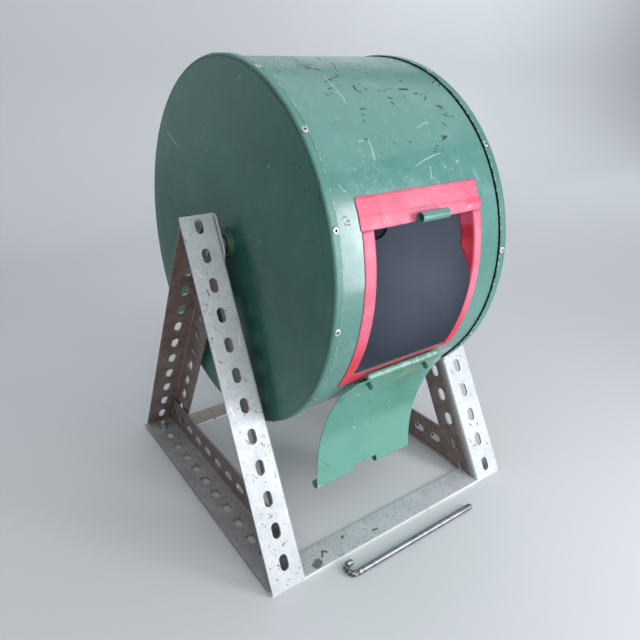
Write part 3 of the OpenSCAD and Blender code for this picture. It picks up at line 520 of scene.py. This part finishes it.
def tapeFinish(name, light, deep):
    # Red cloth tape, woven and a little glossy.
    f = Finish(name)
    flat, _, radius = aroundDrum(f)
    u, v, _ = f.split(flat)
    weave = f.both(f.sum("SINE", f.both(u, 7)), f.sum("SINE", f.both(v, 7)))
    f.colour = f.blend(f.ramp((34, 3, 0.6), 0.35, 0.68), light, deep)
    f.coat(f.ramp((40, 3, 0.7), 0.5, 0.75, 0, 0.2), 248, 160, 178)
    f.coat(f.ramp(weave, 0.2, 1, 0, 0.12), 168, 20, 52)
    f.coat(f.both(f.specks(120, 0.12, 0.06), 0.7), 110, 34, 48)
    # Where it turns in behind the mouth the tape is deeper in colour, as painted shade.
    turnedInShade = f.both(f.ramp(radius, 181.2, 182.9, 0.95, 0), f.ramp(v, 34, 36.5, 1, 0.45))
    f.coat(turnedInShade, 192, 2, 40)
    # Painted shade: the strips turn deeper red towards the bottom, under the hung door.
    f.coat(f.ramp(v, -28, -80, 0, 1), 208, 6, 52)
    scuff = f.both(f.ramp(f.streaks((120, 500, 500), 3, 0.8), 0.6, 0.7, 0, 0.5), f.sum("GREATER_THAN", v, 47.8))
    f.coat(scuff, 250, 196, 206)
    # A crease runs along the strip over the mouth, darkened as painted shade, and its right end is folded to a
    # darker corner.
    bent = f.more(f.less(v, 58.4), f.both(u, 0.016))
    crease = f.both(f.ramp(f.sum("ABSOLUTE", bent), 0.2, 1.3, 0.65, 0), f.ramp((70, 2), 0.3, 0.55, 0.3, 1))
    f.coat(crease, 196, 44, 78)
    corner = f.join(u, v)
    fold = f.strokes(corner, [(41, 56, 16, -1, .8), (48, 58.5, 8.5, -2, .9)], 2.2)
    f.coat(f.both(fold, 0.8), 212, 40, 76)
    bare = f.strokes(f.ragged(corner, 1.5, 400), [(41, 50.5, 5, 1, .3), (42, 52.5, 4, 0.5, .2)], 0.5)
    f.coat(f.both(bare, 0.4), 246, 204, 212)
    creases = f.streaks((30, 90, 90), 2, 0.5)
    height = f.more(f.both(weave, 0.15), f.both(creases, 1.6))
    shine = {"Sheen Weight": 0.1, "Specular IOR Level": 0.6}
    return f.done(f.ramp(creases, 0.35, 0.7, 0.4, 0.52), normal=f.bump(height, 0.0002, 0.4), **shine)


legMarks = {
    "dark": [
        (-152, 262, 2, -6, .25), (-145, 236, 2, -5, .25), (-136, 180, 1.5, -4, .2), (-150, 130, 2, -5, .2),
        (-128, 96, -1.5, -5, .25), (-155, 60, 3, -3, .25), (-140, 36, 3, 2, .25), (-150, 24, 3, -3, .25),
        (-133, 150, 1.5, -3, .2), (-157, 200, 2, -3, .2), (128, 46, 3, -4, .35), (134, 38, 3, -2, .35),
        (136, 60, 3, -3, .3), (150, 90, 1.5, -4, .25), (131, 120, 1.5, -4, .25),
    ],
    "light": [(-157, 280, 3, -6, .2), (-130, 216, -1.5, -8, .2), (-158, 160, 2, -8, .2), (-127, 60, -2, -8, .25)],
}


# The lean of the front legs, and how far in front of the axle their outer faces meet the ground.
legSlope = {"degrees": 26.66, "foot": 0.1647}


def galvanised(name, shadeStrength, dull=0):
    # Zinc-coated angle: pale spangle, rain-grey dulling, dark ticks, and a brown tint inside the bends, painted as
    # shade and reflection.
    f = Finish(name)
    x, y, z = f.split(f.place)
    spangle = f.split(f.cells(210, output="Color"))[0]
    f.colour = f.blend(f.ramp(spangle, 0.1, 0.9, 0, 0.55), (207, 211, 215), (192, 197, 202))
    f.coat(f.ramp((22, 3, 0.6), 0.45, 0.75, 0, 0.3), 164, 169, 172)
    f.coat(f.ramp((420, 3, 0.75), 0.58, 0.7, 0, 0.55), 120, 118, 112)
    f.coat(f.both(f.specks(240, 0.22, 0.2), 0.85), 68, 64, 60)
    f.coat(f.both(f.specks(70, 0.1, 0.1), 0.8), 70, 62, 54)
    f.coat(f.both(f.hairlines(55), f.ramp((64,), 0.56, 0.61, 0, 0.85)), 70, 66, 62)
    f.coat(f.ramp(f.streaks((900, 160, 60), 2, 0.7), 0.64, 0.7, 0, 0.3), 232, 232, 228)
    flat = f.ragged(f.join(f.inMm(x), f.inMm(z)), 2, 260)
    dark = f.both(f.strokes(flat, legMarks["dark"], 0.7), f.ramp((380, 2, 0.7), 0.38, 0.5))
    f.coat(f.both(dark, 0.85), 58, 54, 50)
    f.coat(f.strokes(flat, legMarks["light"], 0.5), 240, 240, 238)
    f.coat(f.both(f.ramp((40, 3, 0.7), 0.3, 0.6, 0.7, 1), dull), 116, 103, 98)
    # A brown tint, painted as shade and reflection, darkens the flanges that face along the axle.
    across, _, up = f.split(f.facing)
    inner = f.either(f.ramp(f.sum("ABSOLUTE", across), 0.45, 0.9), f.ramp(f.both(up, -1), 0.15, 0.4))
    brownShade = f.both(inner, shadeStrength, f.ramp((18, 3, 0.7), 0.25, 0.6, 0.8, 1))
    # It thins out towards the front legs' bends, which lie in one sloping plane, as a painted highlight on their
    # rounded bends.
    lean = math.radians(legSlope["degrees"])
    fromBend = f.less(f.both(f.more(y, legSlope["foot"]), math.cos(lean)), f.both(z, math.sin(lean)))
    brownShade = f.both(brownShade, f.ramp(fromBend, 0.001, 0.012, 0.3, 1))
    brown = f.blend(f.ramp((90, 3, 0.7), 0.4, 0.65), (122, 96, 86), (94, 76, 68))
    f.coat(brownShade, f.blend(f.ramp((300, 3, 0.7), 0.55, 0.7, 0, 0.6), brown, (146, 136, 130)))
    rough = f.ramp((60, 3, 0.6), 0.3, 0.7, 0.38, 0.56)
    metal = f.both(f.less(1, brownShade), 0.3)
    return f.done(rough, metal, f.bump(f.noise(300, 3, 0.7), 0.0002, 0.35))


def strapFinish(name, light, deep, pits):
    # Rolled flat bar, densely pitted, with stains and a bright edge painted as a highlight.
    f = Finish(name)
    x, y, _ = f.split(f.place)
    f.colour = f.blend(f.ramp((30, 4, 0.7), 0.35, 0.68), light, deep)
    f.coat(f.ramp((480, 4, 0.8), 0.54, 0.68, 0, pits), 84, 90, 94)
    f.coat(f.both(f.specks(260, 0.24, 0.25), 0.7), 74, 76, 78)
    flat = f.ragged(f.join(f.inMm(x), f.inMm(y)), 3, 160)
    burnt = f.strokes(flat, [(-107, -157, 3, 2, 3.2)], 2.5)
    f.coat(f.both(burnt, 0.75), 70, 62, 56)
    rust = f.strokes(flat, [(-96, -152, 4, 6, .7), (-92, -146, 3, -3, .7), (-64, -143, 1, 0, 1.1),
                            (-30, -153, 4, -1, .6)], 0.9)
    f.coat(f.both(rust, 0.85), 104, 62, 44)
    # Painted highlight: the bar's side faces are brightened.
    edge = f.ramp(f.sum("ABSOLUTE", f.split(f.facing)[1]), 0.4, 0.9)
    f.coat(f.both(edge, 0.9), 240, 242, 243)
    spots = f.both(edge, f.specks(120, 0.2, 0.3))
    f.coat(spots, 106, 78, 62)
    return f.done(f.ramp((70, 3), 0.3, 0.7, 0.42, 0.62), 0.35, f.bump(f.noise(480, 4, 0.8), 0.0003, 0.4))


def zincFinish(name, light, deep, ridges=0, holes=False):
    f = Finish(name)
    f.colour = f.blend(f.ramp((160, 3, 0.7), 0.4, 0.66), light, deep)
    f.coat(f.ramp((420, 2, 0.7), 0.6, 0.72, 0, 0.6), 78, 72, 64)
    if holes:
        # Painted shade down the rivets' holes and round the feet of their heads.
        holeShade = f.put("ShaderNodeAttribute", {}, "Fac", attribute_name="holeShade")
        f.coat(f.both(holeShade, 0.95), 22, 30, 28)
    height = f.noise(500, 2, 0.6)
    if ridges:
        height = f.sum("SINE", f.both(f.split(f.place)[0], ridges))
    return f.done(f.ramp((90, 2), 0.3, 0.7, 0.26, 0.46), 0.85, f.bump(height, 0.0003, 0.5))


def pinFinish():
    # Smooth rod, its hook mottled and rough from the hammer.
    f = Finish("latchPinSteel")
    hook = f.ramp(f.split(f.place)[0], -0.082, -0.066, 1, 0)
    f.colour = f.blend(f.ramp((60, 3, 0.7), 0.4, 0.66), (140, 144, 151), (112, 114, 120))
    f.coat(f.ramp(f.streaks((30, 1400, 1400), 2, 0.6), 0.55, 0.68, 0, 0.3), 90, 84, 80)
    scale = f.blend(f.ramp((260, 3, 0.7), 0.42, 0.6), (150, 147, 145), (74, 70, 70))
    # Painted glints: bright specks over the hook's dark mottle.
    scale = f.blend(f.ramp((330, 2, 0.7), 0.56, 0.64), scale, (222, 224, 226))
    f.coat(hook, scale)
    height = f.both(hook, f.noise(330, 3, 0.7))
    return f.done(f.mix(hook, 0.34, 0.32), 0.9, f.bump(height, 0.0009, 0.7))


def blackFinish():
    # The plates are slate grey, with painted shade darkening their rims.
    f = Finish("blackPaint")
    low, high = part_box("right_backing_plate")
    rim = (high[2] - low[2]) / 2 / mm
    f.colour = f.blend(f.ramp((40, 3, 0.7), 0.4, 0.7), (122, 126, 136), (104, 108, 118))
    f.coat(f.ramp(aroundDrum(f)[2], rim - 3.5, rim - 1.5), 26, 27, 31)
    return f.done(f.ramp((120, 2), 0.3, 0.7, 0.45, 0.65), normal=f.bump(f.noise(400, 2), 0.0001, 0.4))


finishes = {
    "shell": shellFinish(),
    # The left cap's disc is darker than the right's: partly its own darker paint, partly painted shade on the face
    # turned from the light.
    "leftCap": discFinish("leftCapPaint", -1, (54, 106, 93), (35, 86, 76)),
    "rightCap": discFinish("rightCapPaint", 1, (80, 134, 124), (68, 120, 108)),
    "door": doorFinish(),
    "hinge": hingeFinish(),
    "hub": hubFinish(),
    "rivetPaint": rivetPaint(),
    "tape": tapeFinish("redTape", (215, 104, 132), (208, 84, 114)),
    "patch": tapeFinish("redTapePatch", (228, 98, 126), (221, 81, 110)),
    "legs": galvanised("galvanisedLegs", 0.95),
    "rails": galvanised("galvanisedRails", 0.85, 0.6),
    "frontStrap": strapFinish("frontStrapSteel", (212, 214, 217), (196, 199, 203), 0.6),
    "rearStrap": strapFinish("rearStrapSteel", (164, 156, 150), (140, 131, 124), 0.7),
    "zinc": zincFinish("zincFasteners", (186, 188, 188), (150, 148, 142)),
    "thread": zincFinish("zincThread", (176, 178, 178), (134, 132, 126), 4200),
    "rivet": zincFinish("rivetAlloy", (196, 202, 200), (158, 166, 164), 0, True),
    "pin": pinFinish(),
    "black": blackFinish(),
}
print("finishes made:", len(finishes))


wearers = {
    "shell": "drum_shell",
    "leftCap": "left_end_cap",
    "rightCap": "right_end_cap",
    "door": "door_panel",
    "hinge": "door_hinge_leaf drum_hinge_leaf",
    "hub": "left_hub right_hub",
    "tape": "tape_top tape_left tape_right tape_bottom",
    "patch": "tape_patch",
    "legs": "left_front_leg right_front_leg left_back_leg right_back_leg",
    "rails": "left_base_rail right_base_rail",
    "frontStrap": "front_strap",
    "rearStrap": "rear_strap",
    "zinc": "foot_screws foot_washers foot_nuts left_hub_nut right_hub_nut right_spacer left_axle_washer "
            "right_axle_washer left_axle_nut right_axle_nut hinge_pin",
    "thread": "left_axle_bolt right_axle_bolt",
    "rivet": "left_cap_rivets right_cap_rivets",
    "rivetPaint": "drum_hinge_rivets door_hinge_rivets",
    "pin": "latch_pin",
    "black": "left_backing_plate right_backing_plate",
}
for finish, names in wearers.items():
    for name in names.split():
        mesh = nodes[name].data
        mesh.materials.clear()
        mesh.materials.append(finishes[finish])
print("frame dressed")


# Pieces that stand for plainer ones.

def makePiece(name, points, faces, finish):
    mesh = bpy.data.meshes.new(name)
    mesh.from_pydata([tuple(p) for p in points], [], faces)
    bm = bmesh.new()
    bm.from_mesh(mesh)
    bmesh.ops.remove_doubles(bm, verts=bm.verts, dist=1e-7)
    bmesh.ops.recalc_face_normals(bm, faces=bm.faces)
    bm.to_mesh(mesh)
    bm.free()
    mesh.shade_smooth()
    mesh.materials.append(finishes[finish])
    return addThing(name, mesh)


def settle(piece):
    # Bakes the piece's modifiers into a plain mesh.
    graph = bpy.context.evaluated_depsgraph_get()
    mesh = bpy.data.meshes.new_from_object(piece.evaluated_get(graph))
    piece.modifiers.clear()
    piece.data = mesh


def wall(rows, wide, closed=True):
    # The quads that join each row of points to the next.
    faces = []
    for k in range(rows - 1):
        for i in range(wide if closed else wide - 1):
            j = (i + 1) % wide
            faces.append((k * wide + i, k * wide + j, (k + 1) * wide + j, (k + 1) * wide + i))
    return faces


def lathe(profile, sides):
    # A shape turned around Z from its profile of radii and heights in mm.
    points = []
    for radius, height in profile:
        for i in range(sides):
            a = 2 * math.pi * i / sides
            points.append(Vector((radius * mm * math.cos(a), radius * mm * math.sin(a), height * mm)))
    return points, wall(len(profile), sides)


def joined(shapes):
    points, faces = [], []
    for some, theirs in shapes:
        faces += [tuple(i + len(points) for i in face) for face in theirs]
        points += some
    return points, faces


def onShell(x, radius, degrees):
    a = math.radians(degrees)
    return Vector((x, -radius * math.cos(a), drum["axle"] + radius * math.sin(a)))


# Pop rivets: a domed ring with the mandrel's hole, set round each cap by its count and step.

capRivets = {
    "head": 3.6, "height": 0.7, "hole": 1.0, "sides": 24,
    "left": {"count": 14, "first": 67.9, "step": 360 / 14, "x": -110.6, "radius": 185.8},
    "right": {"count": 11, "first": 65.0, "step": 31.7, "x": 85.6, "radius": 184.8},
}


def rivetHead():
    s = capRivets
    profile = [(0.05, -0.4), (s["hole"], -0.4), (s["hole"], 0.6), (s["hole"] * 1.2, s["height"]),
               (s["head"] * .55, s["height"]), (s["head"] * .8, 0.58), (s["head"] * .9, 0.36), (s["head"], 0.08),
               (s["head"], -0.1), (1.6, -0.1), (1.6, -2.0)]
    points, faces = lathe(profile, s["sides"])
    head = makePiece("rivetHead", points, faces, "rivet")
    # The finish paints shade where this is 1: down the hole and round the foot of the head.
    holeShade = head.data.attributes.new("holeShade", "FLOAT", "POINT")
    for vertex, value in zip(head.data.vertices, holeShade.data):
        out = math.hypot(vertex.co.x, vertex.co.y) / mm
        value.value = 1.0 if out < s["hole"] * 1.1 or out > s["head"] * 0.95 else 0.0
    return head


def rivetTree(head):
    tree, start, result = startGroup("rivetsRoundDrum", "GeometryNodeTree", {
        "Geometry": "Geometry", "Count": "Int",
        "First": "Float", "Step": "Float", "Along": "Float", "Radius": "Float", "Height": "Float",
    }, "Geometry", "Geometry")
    put = partial(putNode, tree)

    def sums(operation, a, b=0.0):
        return put("ShaderNodeMath", {0: a, 1: b}, operation=operation)

    index = put("GeometryNodeInputIndex", {})
    angle = sums("SUBTRACT", start["First"], sums("MULTIPLY", index, start["Step"]))
    angle = sums("RADIANS", angle)
    y = sums("MULTIPLY", sums("MULTIPLY", sums("COSINE", angle), start["Radius"]), -1.0)
    z = sums("ADD", sums("MULTIPLY", sums("SINE", angle), start["Radius"]), start["Height"])
    place = put("ShaderNodeCombineXYZ", {0: start["Along"], 1: y, 2: z})
    points = put("GeometryNodePoints", {"Count": start["Count"], "Position": place})
    # The head's own up turns from +Z to face out of the drum.
    tilt = sums("SUBTRACT", math.pi / 2, angle)
    wobble = put("FunctionNodeRandomValue", {2: -0.09, 3: 0.09, "Seed": 4}, 1, data_type="FLOAT")
    turn = put("ShaderNodeCombineXYZ", {0: sums("ADD", tilt, wobble), 1: wobble, 2: 0.0})
    shape = put("GeometryNodeObjectInfo", {"Object": head}, "Geometry")
    copies = put("GeometryNodeInstanceOnPoints", {"Points": points, "Instance": shape, "Rotation": turn})
    whole = put("GeometryNodeRealizeInstances", {0: copies})
    tree.links.new(put("GeometryNodeSetMaterial", {"Geometry": whole, "Material": finishes["rivet"]}), result)
    return tree


def addCapRivets():
    head = rivetHead()
    tree = rivetTree(head)
    made = []
    for side in ("left", "right"):
        s = capRivets[side]
        piece = addThing(side + "CapRivets", bpy.data.meshes.new(side + "CapRivets"))
        modifier = piece.modifiers.new("rivets", "NODES")
        modifier.node_group = tree
        values = {"Count": s["count"], "First": s["first"], "Step": s["step"], "Along": s["x"] * mm,
                  "Radius": s["radius"] * mm, "Height": drum["axle"]}
        for item in tree.interface.items_tree:
            if item.in_out == "INPUT" and item.name in values:
                modifier[item.identifier] = values[item.name]
        piece.update_tag()
        bpy.context.view_layer.update()
        settle(piece)
        piece.data.shade_smooth()
        made.append(piece)
    bpy.data.objects.remove(head)
    for piece, node in zip(made, ("left_cap_rivets", "right_cap_rivets")):
        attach(piece, "drum")
        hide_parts(node)
    print("cap rivets:", [len(p.data.polygons) for p in made])


# Degrees around the shell for each mm along it.
perMm = 180 / math.pi / 183

# Cloth tape: each strip follows the shell, and the side strips turn in at the mouth.

# In mm: the radius over and under the shell, each strip's width, how far the left one turns in and how far it and
# the right one run on below the mouth, and how much edges wander. span is the mm in a degree.
tape = {"thick": 0.3, "over": 183.25, "under": 181.85, "left": 12, "right": 8.5, "top": 28, "bottom": 4,
        "turned": 7, "leftFoot": 14, "rightFoot": 4, "wave": 0.35, "span": 3.2, "corner": -54}
# The second piece, over the top strip's left end.
patch = {"tall": 26.4, "start": -12.6, "end": 9.6, "up": 0.3}


def wavy(x, y, scale, amount):
    return noise.noise(Vector((x * scale, y * scale, 3.7))) * 2 * amount


def tapeStrip(name, rows, finish, node):
    # rows: one list of (x, radius, degrees) in mm for each step along the strip.
    points = [onShell(x * mm, r * mm, a) for row in rows for x, r, a in row]
    piece = makePiece(name, points, wall(len(rows), len(rows[0]), False), finish)
    solid = piece.modifiers.new("thick", "SOLIDIFY")
    solid.thickness = tape["thick"] * mm
    solid.offset = 0
    settle(piece)
    piece.data.shade_smooth()
    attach(piece, "drum")
    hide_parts(node)


def steps(count, start, end):
    return [start + k / count * (end - start) for k in range(count + 1)]


def lift(x, a, amount=0.12):
    return abs(wavy(x, a * tape["span"], 0.11, amount))


def addTape():
    left, right, top, low = mouth["left"] * 1000, mouth["right"] * 1000, mouth["top"], mouth["low"]
    over, under, span = tape["over"], tape["under"], tape["span"]

    # Left strip, turned flat behind the edge.
    rows = []
    for a in steps(60, low - tape["leftFoot"] * perMm, top):
        outer = left - tape["left"] + wavy(0, a * span, 0.05, tape["wave"])
        row = [(x, over + lift(i * 1.5, a), a) for i, x in enumerate(steps(8, outer, left))]
        if a > low + 0.2:
            row += [(left + 0.25, 182.9, a), (left + 0.3, 182.4, a), (left + 0.1, under, a)]
            row += [(left - tape["turned"] * i / 4, under - lift(i, a, 0.2), a) for i in range(1, 5)]
        else:
            row += [(left - 0.01 * i, over, a) for i in range(7)]
        rows.append(row)
    tapeStrip("tapeLeft", rows, "tape", "tape_left")

    # Right strip, whose turned edge stands off the shell in waves.
    rows = []
    for a in steps(72, low - tape["rightFoot"] * perMm, top):
        outer = right + tape["right"] + wavy(5, a * span, 0.05, tape["wave"]) + 1.4 * max(0, 1 - abs(a - 13) / 4)
        row = [(x, over + lift(i * 1.5, a), a) for i, x in enumerate(steps(6, outer, right + 0.2))]
        # The turned part is deep over the mouth's upper half and runs out below.
        reach = min(1, max(0.03, (a + 5.5) / 11))
        depth = 10.8 * reach
        lean = (5.2 + wavy(9, a * span, 0.07, 1.3)) * reach
        for i in range(1, 9):
            s = i / 8
            x = right + 0.2 - 0.5 * min(1, s * 4) - lean * s ** 1.4
            row.append((x, over - (0.3 + depth - wavy(s * 9, a * span, 0.08, 0.3)) * s, a))
        rows.append(row)
    tapeStrip("tapeRight", rows, "tape", "tape_right")

    # Top strip, its ends cut by hand.
    rows = []
    for k, a in enumerate(steps(14, top, top + tape["top"] * perMm)):
        start = left - tape["left"] - 0.9 * k / 14
        end = right + 8.8 + 3.6 * max(0, 1 - abs(k - 3) / 3.5) + k / 14
        row = []
        for i, x in enumerate(steps(60, start, end)):
            edge = wavy(i * 2.3, 2, 0.03, 0.1) if k in (0, 14) else 0
            row.append((x, over + lift(i * 2.3, a, 0.18), a + edge))
        rows.append(row)
    tapeStrip("tapeTop", rows, "tape", "tape_top")

    # Second piece over the left end, a little askew. The closed door passes 0.2 mm above it.
    rows = []
    radius = over + patch["up"]
    for k, a in enumerate(steps(18, top + 0.05, top + 0.05 + patch["tall"] * perMm)):
        start = left + patch["start"] - 1.1 * k / 18 + wavy(k, 9, 0.2, 0.25)
        end = left + patch["end"] + wavy(k, 3, 0.2, 0.35)
        rows.append([(x, radius + lift(i * 1.3, a, 0.1), a) for i, x in enumerate(steps(20, start, end))])
    tapeStrip("tapePatch", rows, "patch", "tape_patch")

    # Bottom strip, which shows above the hinge, and its end left of it.
    rows = []
    for t in steps(8, 0, 1):
        row = []
        for i, x in enumerate(steps(60, left, right)):
            deep, edge = (tape["leftFoot"], 0.02) if x < tape["corner"] else (tape["bottom"], 0)
            row.append((x, over + lift(i * 2, t * 4), low - deep * perMm * (1 - t) + edge))
        rows.append(row)
    tapeStrip("tapeBottom", rows, "tape", "tape_bottom")
    print("tape laid")


# Left hub: a stepped boss with turned grooves, its rings shiny under the paint.

leftHub = {
    "sides": 96, "foot": -0.110, "bevel": 0.25,
    "profile": [(5, 0), (17, 0), (17, 2.1), (16.4, 2.5), (15.2, 2.5), (15, 2.2), (14.5, 2.2), (14.5, 3.2),
                (14.1, 3.5), (14.5, 3.8), (14.5, 4.7), (14.1, 5.1), (11, 5.1), (10.6, 4.8), (5, 4.8)],
}


def addHub():
    points, faces = lathe(leftHub["profile"], leftHub["sides"])
    turn = Matrix.Rotation(math.radians(-90), 4, "Y")
    points = [turn @ p + Vector((leftHub["foot"], 0, drum["axle"])) for p in points]
    piece = makePiece("leftHub", points, faces, "hub")
    bevel = piece.modifiers.new("worn", "BEVEL")
    bevel.width = leftHub["bevel"] * mm
    bevel.segments = 2
    bevel.limit_method = "ANGLE"
    bevel.angle_limit = math.radians(40)
    settle(piece)
    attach(piece, "drum")
    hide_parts("left_hub")


# Nuts: hexagons with their corners turned off.

nuts = {"axle": (17, 5, 8), "hub": (17, 5, 6), "foot": (10, 3, 5), "footX": 0.1447, "footY": (-0.149, 0.140)}


def hexNut(size, place, along, sides=60):
    # size: the width over its flats, the bore's radius and the height, in mm.
    flats, bore, tall = size
    half = flats / 2
    flat = half * .96
    points = []
    # Each ring's radius and height. None stands for the corners' own radius, which their slope follows.
    rings = ((bore + 0.4, 0), (flat, 0), (None, 0), (None, tall), (flat, tall), (bore + 0.4, tall),
             (bore, tall - 0.4), (bore, 0.4), (bore + 0.4, 0))
    for radius, height in rings:
        for i in range(sides):
            a = 2 * math.pi * i / sides
            corner = half / math.cos((a + math.pi / 6) % (math.pi / 3) - math.pi / 6)
            slope = (corner - flat) * .5
            r = radius or corner
            z = height if radius else height - slope if height else slope
            points.append(Vector((r * math.cos(a), r * math.sin(a), z)) * mm)
    turn = Matrix.Rotation({"x": math.pi / 2, "-x": -math.pi / 2, "z": 0.0}[along], 4, "Y")
    return [turn @ p + Vector(place) for p in points], wall(len(rings), sides)


def addNut(name, shapes, body, node):
    points, faces = joined(shapes)
    piece = makePiece(name, points, faces, "zinc")
    piece.data.set_sharp_from_angle(angle=math.radians(28))
    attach(piece, body)
    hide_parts(node)


def addNuts():
    h = drum["axle"]
    for name, node, size in (("AxleNut", "_axle_nut", nuts["axle"]), ("HubNut", "_hub_nut", nuts["hub"])):
        place = (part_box("left" + node)[1][0], 0, h)
        addNut("left" + name, [hexNut(size, place, "-x")], "drum", "left" + node)
        place = (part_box("right" + node)[0][0], 0, h)
        addNut("right" + name, [hexNut(size, place, "x")], "drum", "right" + node)
    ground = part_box("foot_nuts")[0][2]
    places = [(side * nuts["footX"], y, ground) for side in (-1, 1) for y in nuts["footY"]]
    addNut("footNuts", [hexNut(nuts["foot"], place, "z", 36) for place in places], "stand", "foot_nuts")
    print("nuts made")


# Rivets of the hinge: the drum's show their heads, the door's their hollow tails.

hingeRivets = {
    "head": [(0.7, 0.2), (0.8, 0.85), (1.3, 0.9), (2.5, 0.7), (3.1, 0.35), (3.2, 0), (1.6, 0)],
    "shank": [(1.6, -1.6), (2.2, -1.7), (2.2, -4.4)],
    "tail": [(0.5, -6.7), (1.1, -7.6), (1.35, -8.1), (1.9, -8.05), (2.2, -7.5), (2.25, -2.2), (2.05, -1.7),
             (1.6, -1.6)],
    "hinge": {"y": -0.15824, "z": 0.19365, "degrees": -32.2, "swing": 190.5},
    "sides": 24, "off": 10.8,
    "door": {"x": (-47.0, 26.0), "radius": 185.6},
    "drum": {"x": (-26.5, 9.5), "radius": 183.8},
}


def addHingeRivets():
    hinge = hingeRivets["hinge"]
    swing = (Matrix.Translation((0, hinge["y"], hinge["z"])) @ Matrix.Rotation(math.radians(hinge["swing"]), 4, "X")
             @ Matrix.Translation((0, -hinge["y"], -hinge["z"])))
    for name, node, body, side, profile, turn in (
        ("doorHingeRivets", "door_hinge_rivets", "door", 1, hingeRivets["tail"] + hingeRivets["head"][::-1], swing),
        ("drumHingeRivets", "drum_hinge_rivets", "drum", -1, hingeRivets["head"] + hingeRivets["shank"],
         Matrix.Identity(4)),
    ):
        shapes = []
        degrees = hinge["degrees"] + side * hingeRivets["off"] * perMm
        out = Matrix.Rotation(math.radians(90 - degrees), 4, "X")
        points, faces = lathe(profile, hingeRivets["sides"])
        for x in hingeRivets[body]["x"]:
            foot = onShell(x * mm, hingeRivets[body]["radius"] * mm, degrees)
            shapes.append(([turn @ (foot + out @ p) for p in points], faces))
        points, faces = joined(shapes)
        piece = makePiece(name, points, faces, "rivetPaint")
        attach(piece, body)
        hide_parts(node)
    print("hinge rivets made")


# Latch pin: a smooth rod whose end was hammered round into a lumpy hook, in mm.

latchPin = {"x": -79.5, "y": -185.5, "rod": 3.0, "length": 164.0, "tip": 3, "hook": 6.5, "leg": 4.5, "sides": 28,
            "lump": 0.75}


def addLatchPin():
    s = latchPin
    # Each step has its x, y and radius: along the rounded tip, the straight, the hook and its leg.
    rod, hook, straight = s["rod"], s["hook"], s["length"] - s["tip"]
    path = [(s["length"] - s["tip"] * (1 - t), 0, rod * math.cos(math.asin(t * 0.94))) for t in steps(6, 1, 0)]
    path += [(x, 0, rod) for x in steps(30, straight, 0)[1:]]
    path += [(-hook * math.sin(a), hook * (1 - math.cos(a)), rod) for a in steps(24, 0, math.pi)[1:]]
    path += [(s["leg"] * t, 2 * hook, rod * (1 - 1.32 * max(0, t - 0.5) ** 2)) for t in steps(6, 0, 1)[1:]]
    points = []
    n = s["sides"]
    for k, (x, y, r) in enumerate(path):
        before, after = path[max(0, k - 1)], path[min(len(path) - 1, k + 1)]
        along = Vector((after[0] - before[0], after[1] - before[1], 0)).normalized()
        across = Vector((-along.y, along.x, 0))
        rough = min(1, max(0, (4 - x) / 10))
        for i in range(n):
            a = 2 * math.pi * i / n
            out = across * math.cos(a) + Vector((0, 0, math.sin(a)))
            spot = Vector((x, y, 0)) * 0.35 + out * 1.1
            lump = -abs(noise.noise(spot)) * s["lump"] * rough
            p = Vector((s["x"] + x, s["y"] + y, rod)) + out * (r + lump)
            points.append(p * mm)
    faces = wall(len(path), n)
    faces.append(tuple(range(n)))
    faces.append(tuple(range((len(path) - 1) * n, len(path) * n)))
    piece = makePiece("latchPin", points, faces, "pin")
    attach(piece, "latch_pin")
    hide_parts("latch_pin")
    print("latch pin made")


addCapRivets()
addTape()
addNuts()
addHingeRivets()
addLatchPin()
addHub()
print("hub made")


# Floor and backdrop: one pale sheet, curved up behind the object.

def addStage():
    profile = [(-2.6, 0.0), (1.0, 0.0)]
    profile += [(1.0 + 0.5 * math.sin(math.radians(a)), 0.5 - 0.5 * math.cos(math.radians(a)))
                for a in range(6, 91, 6)]
    profile.append((1.5, 3.6))
    points = [(x, y, z) for y, z in profile for x in (-4.5, 6)]
    faces = [(2 * i, 2 * i + 1, 2 * i + 3, 2 * i + 2) for i in range(len(profile) - 1)]
    mesh = bpy.data.meshes.new("floor")
    mesh.from_pydata(points, [], faces)
    mesh.shade_smooth()
    f = Finish("floorPaper")
    f.colour = f.blend(f.noise(3, 2), (204, 206, 208), (209, 211, 213))
    mesh.materials.append(f.done(0.7))
    floor = addThing("floor", mesh)


addCamera()
addRoom()
for name in ("window", "pane", "fill", "ceiling", "wall"):
    addLight(name, lights[name])
addStage()
bpy.context.scene.view_settings.view_transform = "Standard"
print("camera, lights and floor set")
